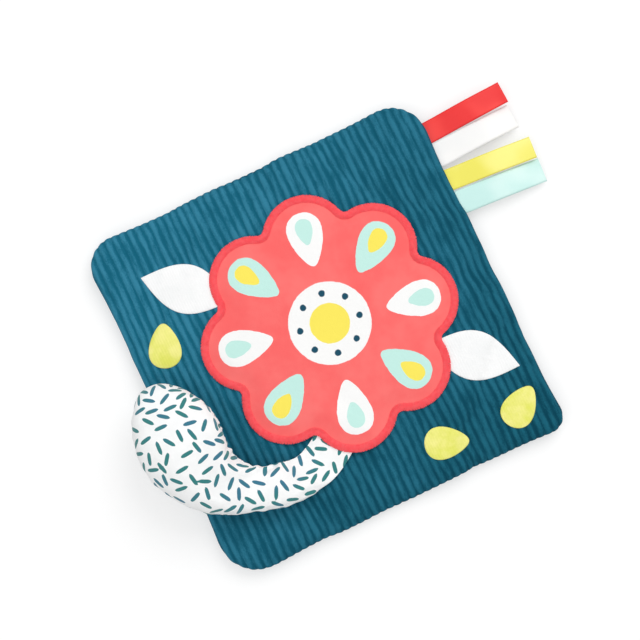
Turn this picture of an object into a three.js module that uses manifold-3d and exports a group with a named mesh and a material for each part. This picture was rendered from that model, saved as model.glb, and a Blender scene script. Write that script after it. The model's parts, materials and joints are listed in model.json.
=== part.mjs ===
// A crinkle sensory square for babies, in millimetres, +Z up, lying on its back panel.
// Two sewn panels hold wadding and a crinkle film, a velour flower is stitched on the front,
// a stuffed curved tail is sewn under one petal, and four folded ribbons come out of one seam.
// Origin: middle of the underside. The corduroy wales run along Y, the ribbons leave along +X.
import * as THREE from "three";
import { mergeVertices } from "three/addons/utils/BufferGeometryUtils.js";
import Module from "manifold-3d";

const wasm = await Module();
wasm.setup();

// Pad
const PAD_SIDE = 165;
const BOTTOM_RIGHT_RADIUS = 8;
const TOP_RIGHT_RADIUS = 18;
const TOP_LEFT_RADIUS = 15;
const BOTTOM_LEFT_RADIUS = 19;
const SIDE_DRAW_IN = 1.2;
const SEAM_HEIGHT = 4.6;
const SEAM_ALLOWANCE = 7;
const FRONT_CLOTH = 1.3;
const BACK_CLOTH = 1.2;
const FRONT_EDGE_RISE = 3.9;
const FRONT_EDGE_ROLL = 9;
const BACK_EDGE_ROLL = 8;
const CROWN = 1.8;
const FILM = 0.35;

// Flower
const FLOWER_X = 5;
const FLOWER_Y = 4.5;
const PETALS = 8;
const PETAL_RING_RADIUS = 39;
const PETAL_RADIUS = 19.5;
const PETAL_NOTCH_RADIUS = 3;
const FLOWER_TURN_DEG = -100;
const VELOUR = 0.6;
const VELOUR_PUFF = 0.9;
const VELOUR_PUFF_RUN = 8;
const EDGING_WIDTH = 4;
const EDGING_HEIGHT = 0.7;
const EDGING_OVERHANG = 0.4;

// Leaves and seeds
const LEAF_LENGTH = 42;
const LEAF_WIDTH = 22;
const LEAF_TUCK = 14;
const LEAF_DIRECTIONS_DEG = { lower_leaf_patch: -38, upper_leaf_patch: 141 };
const PATCH_CLOTH = 0.8;
const SEED_LENGTH = 20;
const SEED_WIDTH = 14;
const SEED_POINT = 0.35;
const SEED_FROM_EDGE = 17;
const LEFT_SEED_ALONG = -27;
const BOTTOM_SEED_ALONG = 29;
const RIGHT_SEED_FROM_CORNER = 17.5;
const SEEDS = {
  left_seed_patch: { edgeDeg: 180, along: LEFT_SEED_ALONG, turnDeg: 70 },
  bottom_seed_patch: { edgeDeg: -90, along: BOTTOM_SEED_ALONG, turnDeg: -20 },
  right_seed_patch: { edgeDeg: 0, along: RIGHT_SEED_FROM_CORNER - PAD_SIDE / 2, turnDeg: 35 },
};

// Stuffed tail
const TAIL_HEADING_DEG = 215;
const TAIL_BEND_RADIUS = 37.4;
const TAIL_LENGTH = 108;
const TAIL_ROOT_WIDTH = 18.5;
const TAIL_MIDDLE_WIDTH = 22;
const TAIL_END_WIDTH = 40.5;
const TAIL_MIDDLE_AT = 34;
const TAIL_TIP_LENGTH = 27;
const TAIL_HEIGHT = 25;
const TAIL_CLOTH = 0.8;
const TAIL_FLAT_ROOT = 6;
const TAIL_ROOT_THICKNESS = 1.3;
const TAIL_SWELL = 26;
const TAIL_SAG = 1;
const TAIL_TAB_LENGTH = 9;
const TAIL_HINGE_GAP = 1.2;

// Ribbons
const RIBBON_WIDTH = 10;
const RIBBON_LENGTH = 38;
const RIBBON_CLOTH = 0.4;
const RIBBON_LOOP_GAP = 1.2;
const RIBBON_PITCH = 11.75;
const RIBBON_FIRST_FROM_TOP = 19.4;
const RIBBON_SEWN = 7;
const RIBBON_ARCH = 1.7;
const RIBBONS = [
  { name: "red", fanDeg: 3, colour: 0xf24541 },
  { name: "white", fanDeg: 2.5, colour: 0xfbf9f7 },
  { name: "yellow", fanDeg: -4, colour: 0xfcf486 },
  { name: "mint", fanDeg: -3.5, colour: 0xd9f8f3 },
];

// Gaps left between pieces that touch, and the number of steps in curves
const CLEARANCE = 0.3;
const CORNER_STEPS = 5;
const SIDE_STEPS = 7;
const PETAL_STEPS = 9;
const NOTCH_STEPS = 3;
const TAIL_STEPS = 20;
const TAIL_AROUND = 9;

const radians = THREE.MathUtils.degToRad;
const smoothstep = THREE.MathUtils.smoothstep;
const lerp = THREE.MathUtils.lerp;
const direction = (degrees) => new THREE.Vector2(Math.cos(radians(degrees)), Math.sin(radians(degrees)));

// Mesh helpers

// A closed mesh from triangles of points; points at one place become one vertex.
function meshFromTriangles(triangles) {
  const places = new Map();
  const position = [];
  const index = [];
  const idOf = (p) => {
    const key = [p.x, p.y, p.z].map((c) => Math.round(c * 1000)).join(",");
    if (!places.has(key)) {
      places.set(key, position.length / 3);
      position.push(p.x, p.y, p.z);
    }
    return places.get(key);
  };
  for (const triangle of triangles) {
    const [a, b, c] = triangle.map(idOf);
    if (a !== b && b !== c && c !== a) index.push(a, b, c);
  }
  const geometry = new THREE.BufferGeometry();
  geometry.setAttribute("position", new THREE.Float32BufferAttribute(position, 3));
  geometry.setIndex(index);
  return geometry;
}

// The two triangles of each cell between row a and row b; wrap joins the last column to the first.
function strip(a, b, wrap) {
  const triangles = [];
  const cells = wrap ? a.length : a.length - 1;
  for (let i = 0; i < cells; i += 1) {
    const j = (i + 1) % a.length;
    triangles.push([a[i], b[i], b[j]], [a[i], b[j], a[j]]);
  }
  return triangles;
}

// A solid through rings that run from a point on top, outwards, and back to a point below.
function loft(rings, top, bottom) {
  const last = rings[rings.length - 1];
  const triangles = rings.slice(1).flatMap((ring, k) => strip(rings[k], ring, true));
  rings[0].forEach((p, i) => triangles.push([top, p, rings[0][(i + 1) % rings[0].length]]));
  last.forEach((p, i) => triangles.push([bottom, last[(i + 1) % last.length], p]));
  return meshFromTriangles(triangles);
}

// A closed band through rings: inner top, outer top, outer bottom, inner bottom.
function band(rings) {
  return meshFromTriangles(rings.flatMap((ring, k) => strip(ring, rings[(k + 1) % rings.length], true)));
}

function toManifold(geometry) {
  const bare = geometry.clone();
  bare.deleteAttribute("normal");
  bare.deleteAttribute("uv");
  const merged = mergeVertices(bare, 1e-4);
  return new wasm.Manifold(
    new wasm.Mesh({
      numProp: 3,
      vertProperties: new Float32Array(merged.attributes.position.array),
      triVerts: new Uint32Array(merged.index.array),
    }),
  );
}

// What is left of a piece when the cutters are taken out of it.
function cut(geometry, cutters) {
  let solid = toManifold(geometry);
  for (const cutter of cutters) solid = solid.subtract(toManifold(cutter));
  const mesh = solid.getMesh();
  const made = new THREE.BufferGeometry();
  made.setAttribute("position", new THREE.Float32BufferAttribute(mesh.vertProperties, 3));
  made.setIndex([...mesh.triVerts]);
  return made;
}

function piece(name, geometry, colour, roughness) {
  geometry.computeVertexNormals();
  const material = new THREE.MeshStandardMaterial({ color: colour, roughness, metalness: 0 });
  const mesh = new THREE.Mesh(geometry, material);
  mesh.name = name;
  return mesh;
}

// Colours
const TEAL = 0x236480;
const CORAL = 0xfe7774;
const DEEP_CORAL = 0xfa5d63;
const WHITE = 0xfbfbfb;
const YELLOW = 0xf0ee7d;
const CLEAR_FILM = 0xe6eef0;
const FIBRE = 0xf4f4f0;

// Pad outline and heights

// The sewn outline, anticlockwise: four corner arcs and four sides that are drawn in a little.
function padOutline() {
  const half = PAD_SIDE / 2;
  const corners = [
    { x: 1, y: -1, radius: BOTTOM_RIGHT_RADIUS, start: -90 },
    { x: 1, y: 1, radius: TOP_RIGHT_RADIUS, start: 0 },
    { x: -1, y: 1, radius: TOP_LEFT_RADIUS, start: 90 },
    { x: -1, y: -1, radius: BOTTOM_LEFT_RADIUS, start: 180 },
  ];
  const arcs = corners.map(({ x, y, radius, start }) =>
    new THREE.EllipseCurve(
      x * (half - radius), y * (half - radius), radius, radius, radians(start), radians(start + 90),
    ).getPoints(CORNER_STEPS),
  );
  return arcs.flatMap((arc, k) => {
    const from = arc[arc.length - 1];
    const to = arcs[(k + 1) % arcs.length][0];
    const inward = direction(corners[k].start + 270);
    const control = from.clone().add(to).multiplyScalar(0.5).addScaledVector(inward, 2 * SIDE_DRAW_IN);
    const side = new THREE.QuadraticBezierCurve(from, control, to).getPoints(SIDE_STEPS);
    return [...arc, ...side.slice(1, -1)];
  });
}

const outline = padOutline();

// Distance from the middle to the outline, in the direction of a point.
function reach(x, y) {
  for (let i = 0; i < outline.length; i += 1) {
    const a = outline[i];
    const b = outline[(i + 1) % outline.length];
    const turnA = a.x * y - a.y * x;
    const turnB = b.x * y - b.y * x;
    if (turnA >= 0 && turnB < 0 && a.x * x + a.y * y > 0) {
      return a.clone().lerp(b, turnA / (turnA - turnB)).length();
    }
  }
  return PAD_SIDE / 2;
}

// Share of a quarter ellipse's height at distance d from its edge.
const roll = (d, width) => Math.sqrt(1 - (1 - THREE.MathUtils.clamp(d / width, 0, 1)) ** 2);

const frontSeam = SEAM_HEIGHT + CLEARANCE / 2;
const backSeam = SEAM_HEIGHT - CLEARANCE / 2;

// Height of the front panel's outer face above the surface that the pad lies on.
function frontTop(x, y) {
  const far = reach(x, y);
  const share = Math.min(Math.hypot(x, y) / far, 1);
  const edge = (1 - share) * far;
  return frontSeam + FRONT_EDGE_RISE * roll(edge, FRONT_EDGE_ROLL) + CROWN * (1 - share * share);
}

// The outline moved towards the middle by a distance, or drawn to a share of its size.
const inset = (d) => outline.map((p) => p.clone().multiplyScalar(1 - d / p.length()));
const shrunk = (ring, share) => ring.map((p) => p.clone().multiplyScalar(share));
const atHeight = (ring, height) =>
  ring.map((p) => new THREE.Vector3(p.x, p.y, typeof height === "function" ? height(p.x, p.y) : height));

const INNER_SHARES = [0.3, 0.62, 0.85];

// A sewn panel turns in at its edge: an outer face, a rolled rim, a flat allowance, an inner face.
function frontPanel() {
  const rim = inset(FRONT_EDGE_ROLL);
  const edges = [1, 0.5, 0.2, 0.05];
  const outer = [
    ...INNER_SHARES.map((share) => atHeight(shrunk(rim, share), frontTop)),
    ...edges.map((share) => atHeight(inset(share * FRONT_EDGE_ROLL), frontTop)),
    atHeight(inset(0), frontSeam),
  ];
  const allowance = FRONT_CLOTH + SEAM_ALLOWANCE;
  const flange = [
    atHeight(inset(allowance), frontSeam),
    atHeight(inset(allowance), frontSeam + FRONT_CLOTH),
    atHeight(inset(FRONT_CLOTH), frontSeam + FRONT_CLOTH),
  ];
  const innerRise = FRONT_EDGE_RISE - 2 * FRONT_CLOTH;
  const innerRoll = FRONT_EDGE_ROLL - FRONT_CLOTH;
  const rolled = [0.3, 1].map((share) =>
    atHeight(
      inset(FRONT_CLOTH + share * innerRoll),
      (x, y) => frontSeam + FRONT_CLOTH + innerRise * roll(share * innerRoll, innerRoll) +
        (share === 1 ? frontTop(x, y) - frontSeam - FRONT_EDGE_RISE : 0),
    ),
  );
  const under = (x, y) => frontTop(x, y) - FRONT_CLOTH;
  const inner = [...INNER_SHARES].reverse().map((share) => atHeight(shrunk(rim, share), under));
  const top = new THREE.Vector3(0, 0, frontTop(0, 0));
  const bottom = new THREE.Vector3(0, 0, under(0, 0));
  return loft([...outer, ...flange, ...rolled, ...inner], top, bottom);
}

// The back panel is the same fold the other way up, and lies flat where it meets the surface.
function backPanel() {
  const rim = inset(BACK_EDGE_ROLL);
  const allowance = BACK_CLOTH + SEAM_ALLOWANCE;
  const innerRoll = BACK_EDGE_ROLL - BACK_CLOTH;
  const innerDrop = backSeam - 2 * BACK_CLOTH;
  const inner = [
    atHeight(shrunk(rim, INNER_SHARES[1]), BACK_CLOTH),
    ...[1, 0.3].map((share) =>
      atHeight(
        inset(BACK_CLOTH + share * innerRoll),
        backSeam - BACK_CLOTH - innerDrop * roll(share * innerRoll, innerRoll),
      ),
    ),
  ];
  const flange = [
    atHeight(inset(BACK_CLOTH), backSeam - BACK_CLOTH),
    atHeight(inset(allowance), backSeam - BACK_CLOTH),
    atHeight(inset(allowance), backSeam),
    atHeight(inset(0), backSeam),
  ];
  const outer = [0.05, 0.2, 0.5, 1].map((share) =>
    atHeight(inset(share * BACK_EDGE_ROLL), backSeam * (1 - roll(share, 1))),
  );
  const flat = atHeight(shrunk(rim, INNER_SHARES[1]), 0);
  const top = new THREE.Vector3(0, 0, BACK_CLOTH);
  return loft([...inner, ...flange, ...outer, flat], top, new THREE.Vector3());
}

// The film lies on the back panel, and the wadding fills what is left under the front panel.
const fillingInset = Math.max(FRONT_EDGE_ROLL, BACK_EDGE_ROLL, FRONT_CLOTH + SEAM_ALLOWANCE) + CLEARANCE;
const filmBottom = BACK_CLOTH + CLEARANCE;
const waddingBottom = filmBottom + FILM + CLEARANCE;

function crinkleFilm() {
  const edge = inset(fillingInset);
  const rings = [atHeight(edge, filmBottom + FILM), atHeight(edge, filmBottom)];
  return loft(rings, new THREE.Vector3(0, 0, filmBottom + FILM), new THREE.Vector3(0, 0, filmBottom));
}

function wadding() {
  const edge = inset(fillingInset);
  const under = (x, y) => frontTop(x, y) - FRONT_CLOTH - CLEARANCE;
  const rings = [
    ...[...INNER_SHARES, 1].map((share) => atHeight(shrunk(edge, share), under)),
    atHeight(edge, waddingBottom),
  ];
  return loft(rings, new THREE.Vector3(0, 0, under(0, 0)), new THREE.Vector3(0, 0, waddingBottom));
}

// Flower

const flowerCentre = new THREE.Vector2(FLOWER_X, FLOWER_Y);
const petalCentre = (k) =>
  direction(FLOWER_TURN_DEG + (k * 360) / PETALS).multiplyScalar(PETAL_RING_RADIUS).add(flowerCentre);

// The flower's outline moved in by a distance: round petals with a small round notch between them.
function flowerOutline(movedIn) {
  const halfStep = Math.PI / PETALS;
  const petal = PETAL_RADIUS - movedIn;
  const notch = PETAL_NOTCH_RADIUS + movedIn;
  const across = PETAL_RING_RADIUS * Math.sin(halfStep);
  const inward = PETAL_RING_RADIUS * Math.cos(halfStep);
  const notchRing = inward + Math.sqrt((PETAL_RADIUS + PETAL_NOTCH_RADIUS) ** 2 - across ** 2);
  const lean = Math.atan2(across, notchRing - inward);
  const points = [];
  for (let k = 0; k < PETALS; k += 1) {
    const out = radians(FLOWER_TURN_DEG + (k * 360) / PETALS);
    const petalAt = petalCentre(k);
    const notchAt = new THREE.Vector2(Math.cos(out + halfStep), Math.sin(out + halfStep))
      .multiplyScalar(notchRing)
      .add(flowerCentre);
    const open = halfStep + lean;
    const back = out + halfStep + Math.PI;
    points.push(
      ...new THREE.EllipseCurve(petalAt.x, petalAt.y, petal, petal, out - open, out + open)
        .getPoints(PETAL_STEPS),
      ...new THREE.EllipseCurve(notchAt.x, notchAt.y, notch, notch, back + lean, back - lean, true)
        .getPoints(NOTCH_STEPS)
        .slice(1, -1),
    );
  }
  return points;
}

// Points on the way from a centre to an outline, at a share of the distance.
const towards = (centre, ring, share) => ring.map((p) => centre.clone().lerp(p, share));

// Where the tail leaves the first petal, and its frame there: along, across and up.
const tailHeading = direction(TAIL_HEADING_DEG);
const tailRoot = petalCentre(0).addScaledVector(tailHeading, PETAL_RADIUS + TAIL_HINGE_GAP);
const tailAcross = new THREE.Vector2(-tailHeading.y, tailHeading.x);

// The petal rides over the sewn tab of the tail, and comes down again beside it.
const TAB_MARGIN = 4;
const TAB_FALL = 8;
const tabEnd = TAIL_ROOT_THICKNESS / 2 + CLEARANCE;
function tabLift(x, y) {
  const from = new THREE.Vector2(x, y).sub(tailRoot);
  const along = -from.dot(tailHeading) - tabEnd - TAIL_TAB_LENGTH;
  const beside = Math.abs(from.dot(tailAcross)) - TAIL_ROOT_WIDTH / 2;
  const away = Math.max(along, beside) - TAB_MARGIN;
  return (TAIL_ROOT_THICKNESS + CLEARANCE) * (1 - smoothstep(away, 0, TAB_FALL));
}

const velourUnder = (x, y) => frontTop(x, y) + CLEARANCE + tabLift(x, y);
const velourTop = (x, y) => velourUnder(x, y) + VELOUR;

// A piece of cloth laid on the pad, with a soft edge.
function laidPatch(ring, centre, under, thickness, shares) {
  const over = (x, y) => under(x, y) + thickness;
  const softEdge = (x, y) => under(x, y) + thickness / 2;
  const rings = [
    ...shares.map((share) => atHeight(towards(centre, ring, share), over)),
    atHeight(ring, softEdge),
    atHeight(ring, under),
    ...[...shares].reverse().map((share) => atHeight(towards(centre, ring, share), under)),
  ];
  const top = new THREE.Vector3(centre.x, centre.y, over(centre.x, centre.y));
  return loft(rings, top, new THREE.Vector3(centre.x, centre.y, under(centre.x, centre.y)));
}

// The velour is pressed thin under its stitched edge and puffs up inside it.
function flowerApplique() {
  const puffEdge = EDGING_WIDTH + CLEARANCE;
  const edge = flowerOutline(EDGING_OVERHANG);
  const plateau = flowerOutline(puffEdge + VELOUR_PUFF_RUN);
  const puffed = (share) => (x, y) => velourTop(x, y) + VELOUR_PUFF * smoothstep(share, 0, 1);
  const inPuff = (share) => flowerOutline(puffEdge + share * VELOUR_PUFF_RUN);
  const under = (share) => atHeight(towards(flowerCentre, edge, share), velourUnder);
  const rings = [
    ...[0.3, 0.6, 0.85].map((share) => atHeight(towards(flowerCentre, plateau, share), puffed(1))),
    ...[1, 0.6, 0.3, 0].map((share) => atHeight(inPuff(share), puffed(share))),
    atHeight(flowerOutline(EDGING_WIDTH / 2), velourTop),
    atHeight(edge, velourTop),
    ...[1, 0.975, 0.88, 0.76, 0.6, 0.35].map(under),
  ];
  const middleAt = (height) => new THREE.Vector3(FLOWER_X, FLOWER_Y, height(FLOWER_X, FLOWER_Y));
  return loft(rings, middleAt(puffed(1)), middleAt(velourUnder));
}

// Satin stitch over the edge of the velour: a low crowned band.
function flowerEdging() {
  const base = (x, y) => velourTop(x, y) + CLEARANCE;
  const crest = (x, y) => base(x, y) + EDGING_HEIGHT;
  const shoulder = (x, y) => base(x, y) + EDGING_HEIGHT / 3;
  return band([
    atHeight(flowerOutline(EDGING_WIDTH), shoulder),
    atHeight(flowerOutline(EDGING_WIDTH * 0.65), crest),
    atHeight(flowerOutline(EDGING_WIDTH * 0.35), crest),
    atHeight(flowerOutline(0), shoulder),
    atHeight(flowerOutline(0), base),
    atHeight(flowerOutline(EDGING_WIDTH / 2), base),
    atHeight(flowerOutline(EDGING_WIDTH), base),
  ]);
}

// Pointed leaf: two arcs that meet at the tips, along +X from its middle.
function leafOutline(length, width, steps) {
  const upper = [];
  for (let k = 0; k <= steps; k += 1) {
    const t = k / steps;
    upper.push(new THREE.Vector2(length * (t - 0.5), (width / 2) * Math.sin(Math.PI * t)));
  }
  const lower = upper.slice(1, -1).map((p) => new THREE.Vector2(p.x, -p.y));
  return [...lower, upper[steps], ...upper.slice(0, -1).reverse()];
}

// Seed: round at one end, drawn to a soft point at the other.
function seedOutline(length, width, steps) {
  return Array.from({ length: steps }, (_, k) => {
    const t = (2 * Math.PI * k) / steps;
    const narrowing = 1 - SEED_POINT * Math.cos(t);
    return new THREE.Vector2((length / 2) * Math.cos(t), (width / 2) * Math.sin(t) * narrowing);
  });
}

const moved = (ring, at, turnDeg) =>
  ring.map((p) => p.clone().rotateAround(new THREE.Vector2(), radians(turnDeg)).add(at));
const onPad = (x, y) => frontTop(x, y) + CLEARANCE;

// Leaves reach under the flower on the real pad, so here they stop at its edge.
function leafPatch(directionDeg) {
  const flowerReach = PETAL_RING_RADIUS + PETAL_RADIUS;
  const middle = direction(directionDeg)
    .multiplyScalar(flowerReach - LEAF_TUCK + LEAF_LENGTH / 2)
    .add(flowerCentre);
  const ring = moved(leafOutline(LEAF_LENGTH, LEAF_WIDTH, 12), middle, directionDeg);
  const leaf = laidPatch(ring, middle, onPad, PATCH_CLOTH, [0.5, 0.95]);
  const flower = new THREE.ExtrudeGeometry(new THREE.Shape(flowerOutline(-CLEARANCE)), {
    depth: PAD_SIDE,
    bevelEnabled: false,
  });
  return cut(leaf, [flower]);
}

// A seed's place is measured in from the middle of one side and then along that side.
function seedPatch({ edgeDeg, along, turnDeg }) {
  const at = direction(edgeDeg)
    .multiplyScalar(PAD_SIDE / 2 - SEED_FROM_EDGE)
    .addScaledVector(direction(edgeDeg + 90), along);
  const ring = moved(seedOutline(SEED_LENGTH, SEED_WIDTH, 20), at, turnDeg);
  return laidPatch(ring, at, onPad, PATCH_CLOTH, [0.93]);
}

// Stuffed tail

const tailSeamHeight = (x, y) => frontTop(x, y) + CLEARANCE + TAIL_ROOT_THICKNESS / 2;
const rootTop = frontTop(tailRoot.x, tailRoot.y);
const bendCentre = direction(TAIL_HEADING_DEG - 90).multiplyScalar(TAIL_BEND_RADIUS).add(tailRoot);

// Share of the full width left at a distance along the tail: a round end.
const tipShare = (s, length) => {
  const into = THREE.MathUtils.clamp((s - (length - TAIL_TIP_LENGTH)) / TAIL_TIP_LENGTH, 0, 1);
  return Math.sqrt(1 - into * into);
};

function tailWidth(s) {
  const swell = smoothstep(s, TAIL_MIDDLE_AT, TAIL_LENGTH - TAIL_TIP_LENGTH);
  return s < TAIL_MIDDLE_AT
    ? lerp(TAIL_ROOT_WIDTH, TAIL_MIDDLE_WIDTH, smoothstep(s, 0, TAIL_MIDDLE_AT))
    : lerp(TAIL_MIDDLE_WIDTH, TAIL_END_WIDTH, swell);
}

// The tail's middle at a distance from its root: a bend of constant radius, resting on the pad.
function tailStation(s) {
  const turn = radians(TAIL_HEADING_DEG + 90) - s / TAIL_BEND_RADIUS;
  const out = new THREE.Vector2(Math.cos(turn), Math.sin(turn));
  const at = bendCentre.clone().addScaledVector(out, TAIL_BEND_RADIUS);
  const stuffed = (TAIL_HEIGHT / 2) * (tailWidth(s) / TAIL_END_WIDTH);
  const swollen = smoothstep(s, TAIL_FLAT_ROOT, TAIL_FLAT_ROOT + TAIL_SWELL);
  const rise = lerp(TAIL_ROOT_THICKNESS / 2, stuffed, swollen);
  const middle = rootTop + CLEARANCE + rise - TAIL_SAG * smoothstep(s, 0, TAIL_LENGTH);
  return { at, out, rise, middle };
}

// A row of points round the upper (side 1) or lower (side -1) half of the tail, inside its outer face.
function tailArc(s, side, inside) {
  const { at, out, rise, middle } = tailStation(s);
  const round = tipShare(s, TAIL_LENGTH - inside);
  const width = (tailWidth(s) / 2 - inside) * round;
  const height = Math.max(rise - CLEARANCE / 2 - inside, 0) * round;
  return Array.from({ length: TAIL_AROUND }, (_, j) => {
    const t = (Math.PI * j) / (TAIL_AROUND - 1);
    const place = at.clone().addScaledVector(out, width * Math.cos(t));
    return new THREE.Vector3(place.x, place.y, middle + side * (CLEARANCE / 2 + height * Math.sin(t)));
  });
}

// Distances along the tail, closer together at its round tip.
const tailDistances = (length) =>
  Array.from({ length: TAIL_STEPS + 1 }, (_, i) => length * Math.sin((Math.PI / 2) * (i / TAIL_STEPS)));

// Half of the tail's cover: an outer and an inner face, joined along the seam and at the root.
function tailCover(side) {
  const outer = tailDistances(TAIL_LENGTH).map((s) => tailArc(s, side, 0));
  const inner = tailDistances(TAIL_LENGTH - TAIL_CLOTH).map((s) => tailArc(s, side, TAIL_CLOTH));
  const triangles = [];
  const face = (a, b, flip) => {
    for (const [p, q, r] of strip(a, b, false)) triangles.push(flip ? [p, r, q] : [p, q, r]);
  };
  for (let i = 0; i < TAIL_STEPS; i += 1) {
    face(outer[i], outer[i + 1], side > 0);
    face(inner[i], inner[i + 1], side < 0);
    for (const j of [0, TAIL_AROUND - 1]) {
      face([outer[i][j], inner[i][j]], [outer[i + 1][j], inner[i + 1][j]], (j === 0) !== side > 0);
    }
  }
  face(outer[0], inner[0], side < 0);
  return meshFromTriangles(triangles);
}

// Fibre stuffing: a plump core clear of the cover, from the end of the flat root to the tip.
function tailFilling() {
  const inside = TAIL_CLOTH + CLEARANCE;
  const start = TAIL_FLAT_ROOT + TAIL_SWELL / 3;
  const distances = tailDistances(TAIL_LENGTH - inside).filter((s) => s > start);
  const rings = distances.map((s) => [...tailArc(s, 1, inside), ...tailArc(s, -1, inside).reverse()]);
  const first = rings[0];
  const firstMiddle = first.reduce((sum, p) => sum.add(p), new THREE.Vector3()).divideScalar(first.length);
  const triangles = rings.slice(1).flatMap((ring, k) => strip(ring, rings[k], true));
  first.forEach((p, i) => triangles.push([firstMiddle, first[(i + 1) % first.length], p]));
  return meshFromTriangles(triangles);
}

// The sewn end of the tail's cover, flat under the petal.
function tailTab() {
  const geometry = new THREE.BoxGeometry(TAIL_TAB_LENGTH, TAIL_ROOT_WIDTH, TAIL_ROOT_THICKNESS, 3, 3, 1);
  geometry.rotateZ(radians(TAIL_HEADING_DEG));
  const middle = tailRoot.clone().addScaledVector(tailHeading, -tabEnd - TAIL_TAB_LENGTH / 2);
  geometry.translate(middle.x, middle.y, 0);
  const position = geometry.attributes.position;
  for (let i = 0; i < position.count; i += 1) {
    position.setZ(i, position.getZ(i) + tailSeamHeight(position.getX(i), position.getY(i)));
  }
  return geometry;
}

// Ribbons

const ribbonY = (k) => PAD_SIDE / 2 - RIBBON_FIRST_FROM_TOP - k * RIBBON_PITCH;
const ribbonStack = 2 * RIBBON_CLOTH + CLEARANCE;

// Where the right-hand seam runs at a height up the pad.
function rightEdge(y) {
  for (let i = 0; i < outline.length; i += 1) {
    const a = outline[i];
    const b = outline[(i + 1) % outline.length];
    if (a.x > 0 && b.x > 0 && a.y <= y && b.y > y) return lerp(a.x, b.x, (y - a.y) / (b.y - a.y));
  }
  return PAD_SIDE / 2;
}

// The nearest that a ribbon's sewn end may come to the open: the least reach of the seam across it.
const seamAt = (k) => {
  const y = ribbonY(k);
  return Math.min(rightEdge(y - RIBBON_WIDTH / 2), rightEdge(y), rightEdge(y + RIBBON_WIDTH / 2));
};
const hingeAt = (k) => {
  const y = ribbonY(k);
  const widest = Math.max(rightEdge(y - RIBBON_WIDTH / 2), rightEdge(y), rightEdge(y + RIBBON_WIDTH / 2));
  const fanned = (RIBBON_WIDTH / 2) * Math.abs(Math.sin(radians(RIBBONS[k].fanDeg)));
  return widest + fanned + CLEARANCE + ribbonStack / 2;
};

// The flat end of a ribbon inside the seam, or with a margin the room that it needs there.
function sewnEnd(k, margin) {
  const length = RIBBON_SEWN + margin;
  const geometry = new THREE.BoxGeometry(
    length + (margin ? PAD_SIDE / 2 : 0), RIBBON_WIDTH + 2 * margin, 2 * RIBBON_CLOTH + 2 * margin,
  );
  const end = seamAt(k) + (margin ? PAD_SIDE / 2 : 0);
  geometry.translate(end - (length + (margin ? PAD_SIDE / 2 : 0)) / 2, ribbonY(k), SEAM_HEIGHT);
  return geometry;
}

// A ribbon folded into a flat loop, seen from its side: the fold is round, the layers open a little.
function ribbonLoop() {
  const steps = 8;
  const bow = (x) => Math.sin((Math.PI * x) / RIBBON_LENGTH) ** 2;
  const middle = (x) => RIBBON_ARCH * bow(x);
  const open = (x) => CLEARANCE / 2 + (RIBBON_LOOP_GAP / 2) * bow(x);
  const distances = (from, to) => Array.from({ length: steps + 1 }, (_, i) => lerp(from, to, i / steps));
  const line = (from, to, side, extra) =>
    distances(from, to).map((x) => new THREE.Vector2(x, middle(x) + side * (open(x) + extra)));
  const fold = CLEARANCE / 2 + RIBBON_CLOTH;
  const endCap = new THREE.EllipseCurve(RIBBON_LENGTH, 0, fold, fold, -Math.PI / 2, Math.PI / 2).getPoints(4);
  const rootCap = new THREE.EllipseCurve(0, 0, fold, fold, Math.PI / 2, Math.PI * 1.5).getPoints(4);
  const outer = [
    ...line(0, RIBBON_LENGTH, -1, RIBBON_CLOTH).slice(0, -1),
    ...endCap,
    ...line(RIBBON_LENGTH, 0, 1, RIBBON_CLOTH).slice(1, -1),
    ...rootCap.slice(0, -1),
  ];
  const hole = [
    ...line(RIBBON_CLOTH, RIBBON_LENGTH, 1, 0),
    ...line(RIBBON_LENGTH, RIBBON_CLOTH, -1, 0),
  ];
  const shape = new THREE.Shape(outer);
  shape.holes.push(new THREE.Path(hole));
  const geometry = new THREE.ExtrudeGeometry(shape, { depth: RIBBON_WIDTH, bevelEnabled: false });
  return geometry.rotateX(Math.PI / 2).translate(0, RIBBON_WIDTH / 2, 0);
}

// Assembly

const crinkleSquare = new THREE.Group();

const seamPockets = RIBBONS.map((_, k) => sewnEnd(k, CLEARANCE));
crinkleSquare.add(
  piece("front_panel", cut(frontPanel(), seamPockets), TEAL, 0.95),
  piece("back_panel", cut(backPanel(), seamPockets), TEAL, 0.95),
  piece("crinkle_film", crinkleFilm(), CLEAR_FILM, 0.2),
  piece("wadding", cut(wadding(), seamPockets), FIBRE, 1),
  piece("flower_applique", flowerApplique(), CORAL, 0.9),
  piece("flower_edging", flowerEdging(), DEEP_CORAL, 0.55),
);

for (const [name, directionDeg] of Object.entries(LEAF_DIRECTIONS_DEG)) {
  crinkleSquare.add(piece(name, leafPatch(directionDeg), WHITE, 0.9));
}
for (const [name, place] of Object.entries(SEEDS)) {
  crinkleSquare.add(piece(name, seedPatch(place), YELLOW, 0.9));
}

crinkleSquare.add(
  piece("tail_root_tab", tailTab(), WHITE, 0.85),
  piece("tail_cover_front", tailCover(1), WHITE, 0.85),
  piece("tail_cover_back", tailCover(-1), WHITE, 0.85),
  piece("tail_filling", tailFilling(), FIBRE, 1),
);

RIBBONS.forEach(({ name, fanDeg, colour }, k) => {
  const hinge = new THREE.Group();
  hinge.position.set(hingeAt(k), ribbonY(k), SEAM_HEIGHT);
  hinge.rotation.z = radians(fanDeg);
  hinge.add(piece(`${name}_ribbon`, ribbonLoop(), colour, 0.4));
  crinkleSquare.add(hinge, piece(`${name}_ribbon_sewn_end`, sewnEnd(k, 0), colour, 0.4));
});

export default crinkleSquare;
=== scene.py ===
"""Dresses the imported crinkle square: corduroy pad, velour flower, stuffed tail and satin ribbons."""
import json
import math

import bpy
import numpy as np
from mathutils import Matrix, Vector
from mathutils.bvhtree import BVHTree


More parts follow.
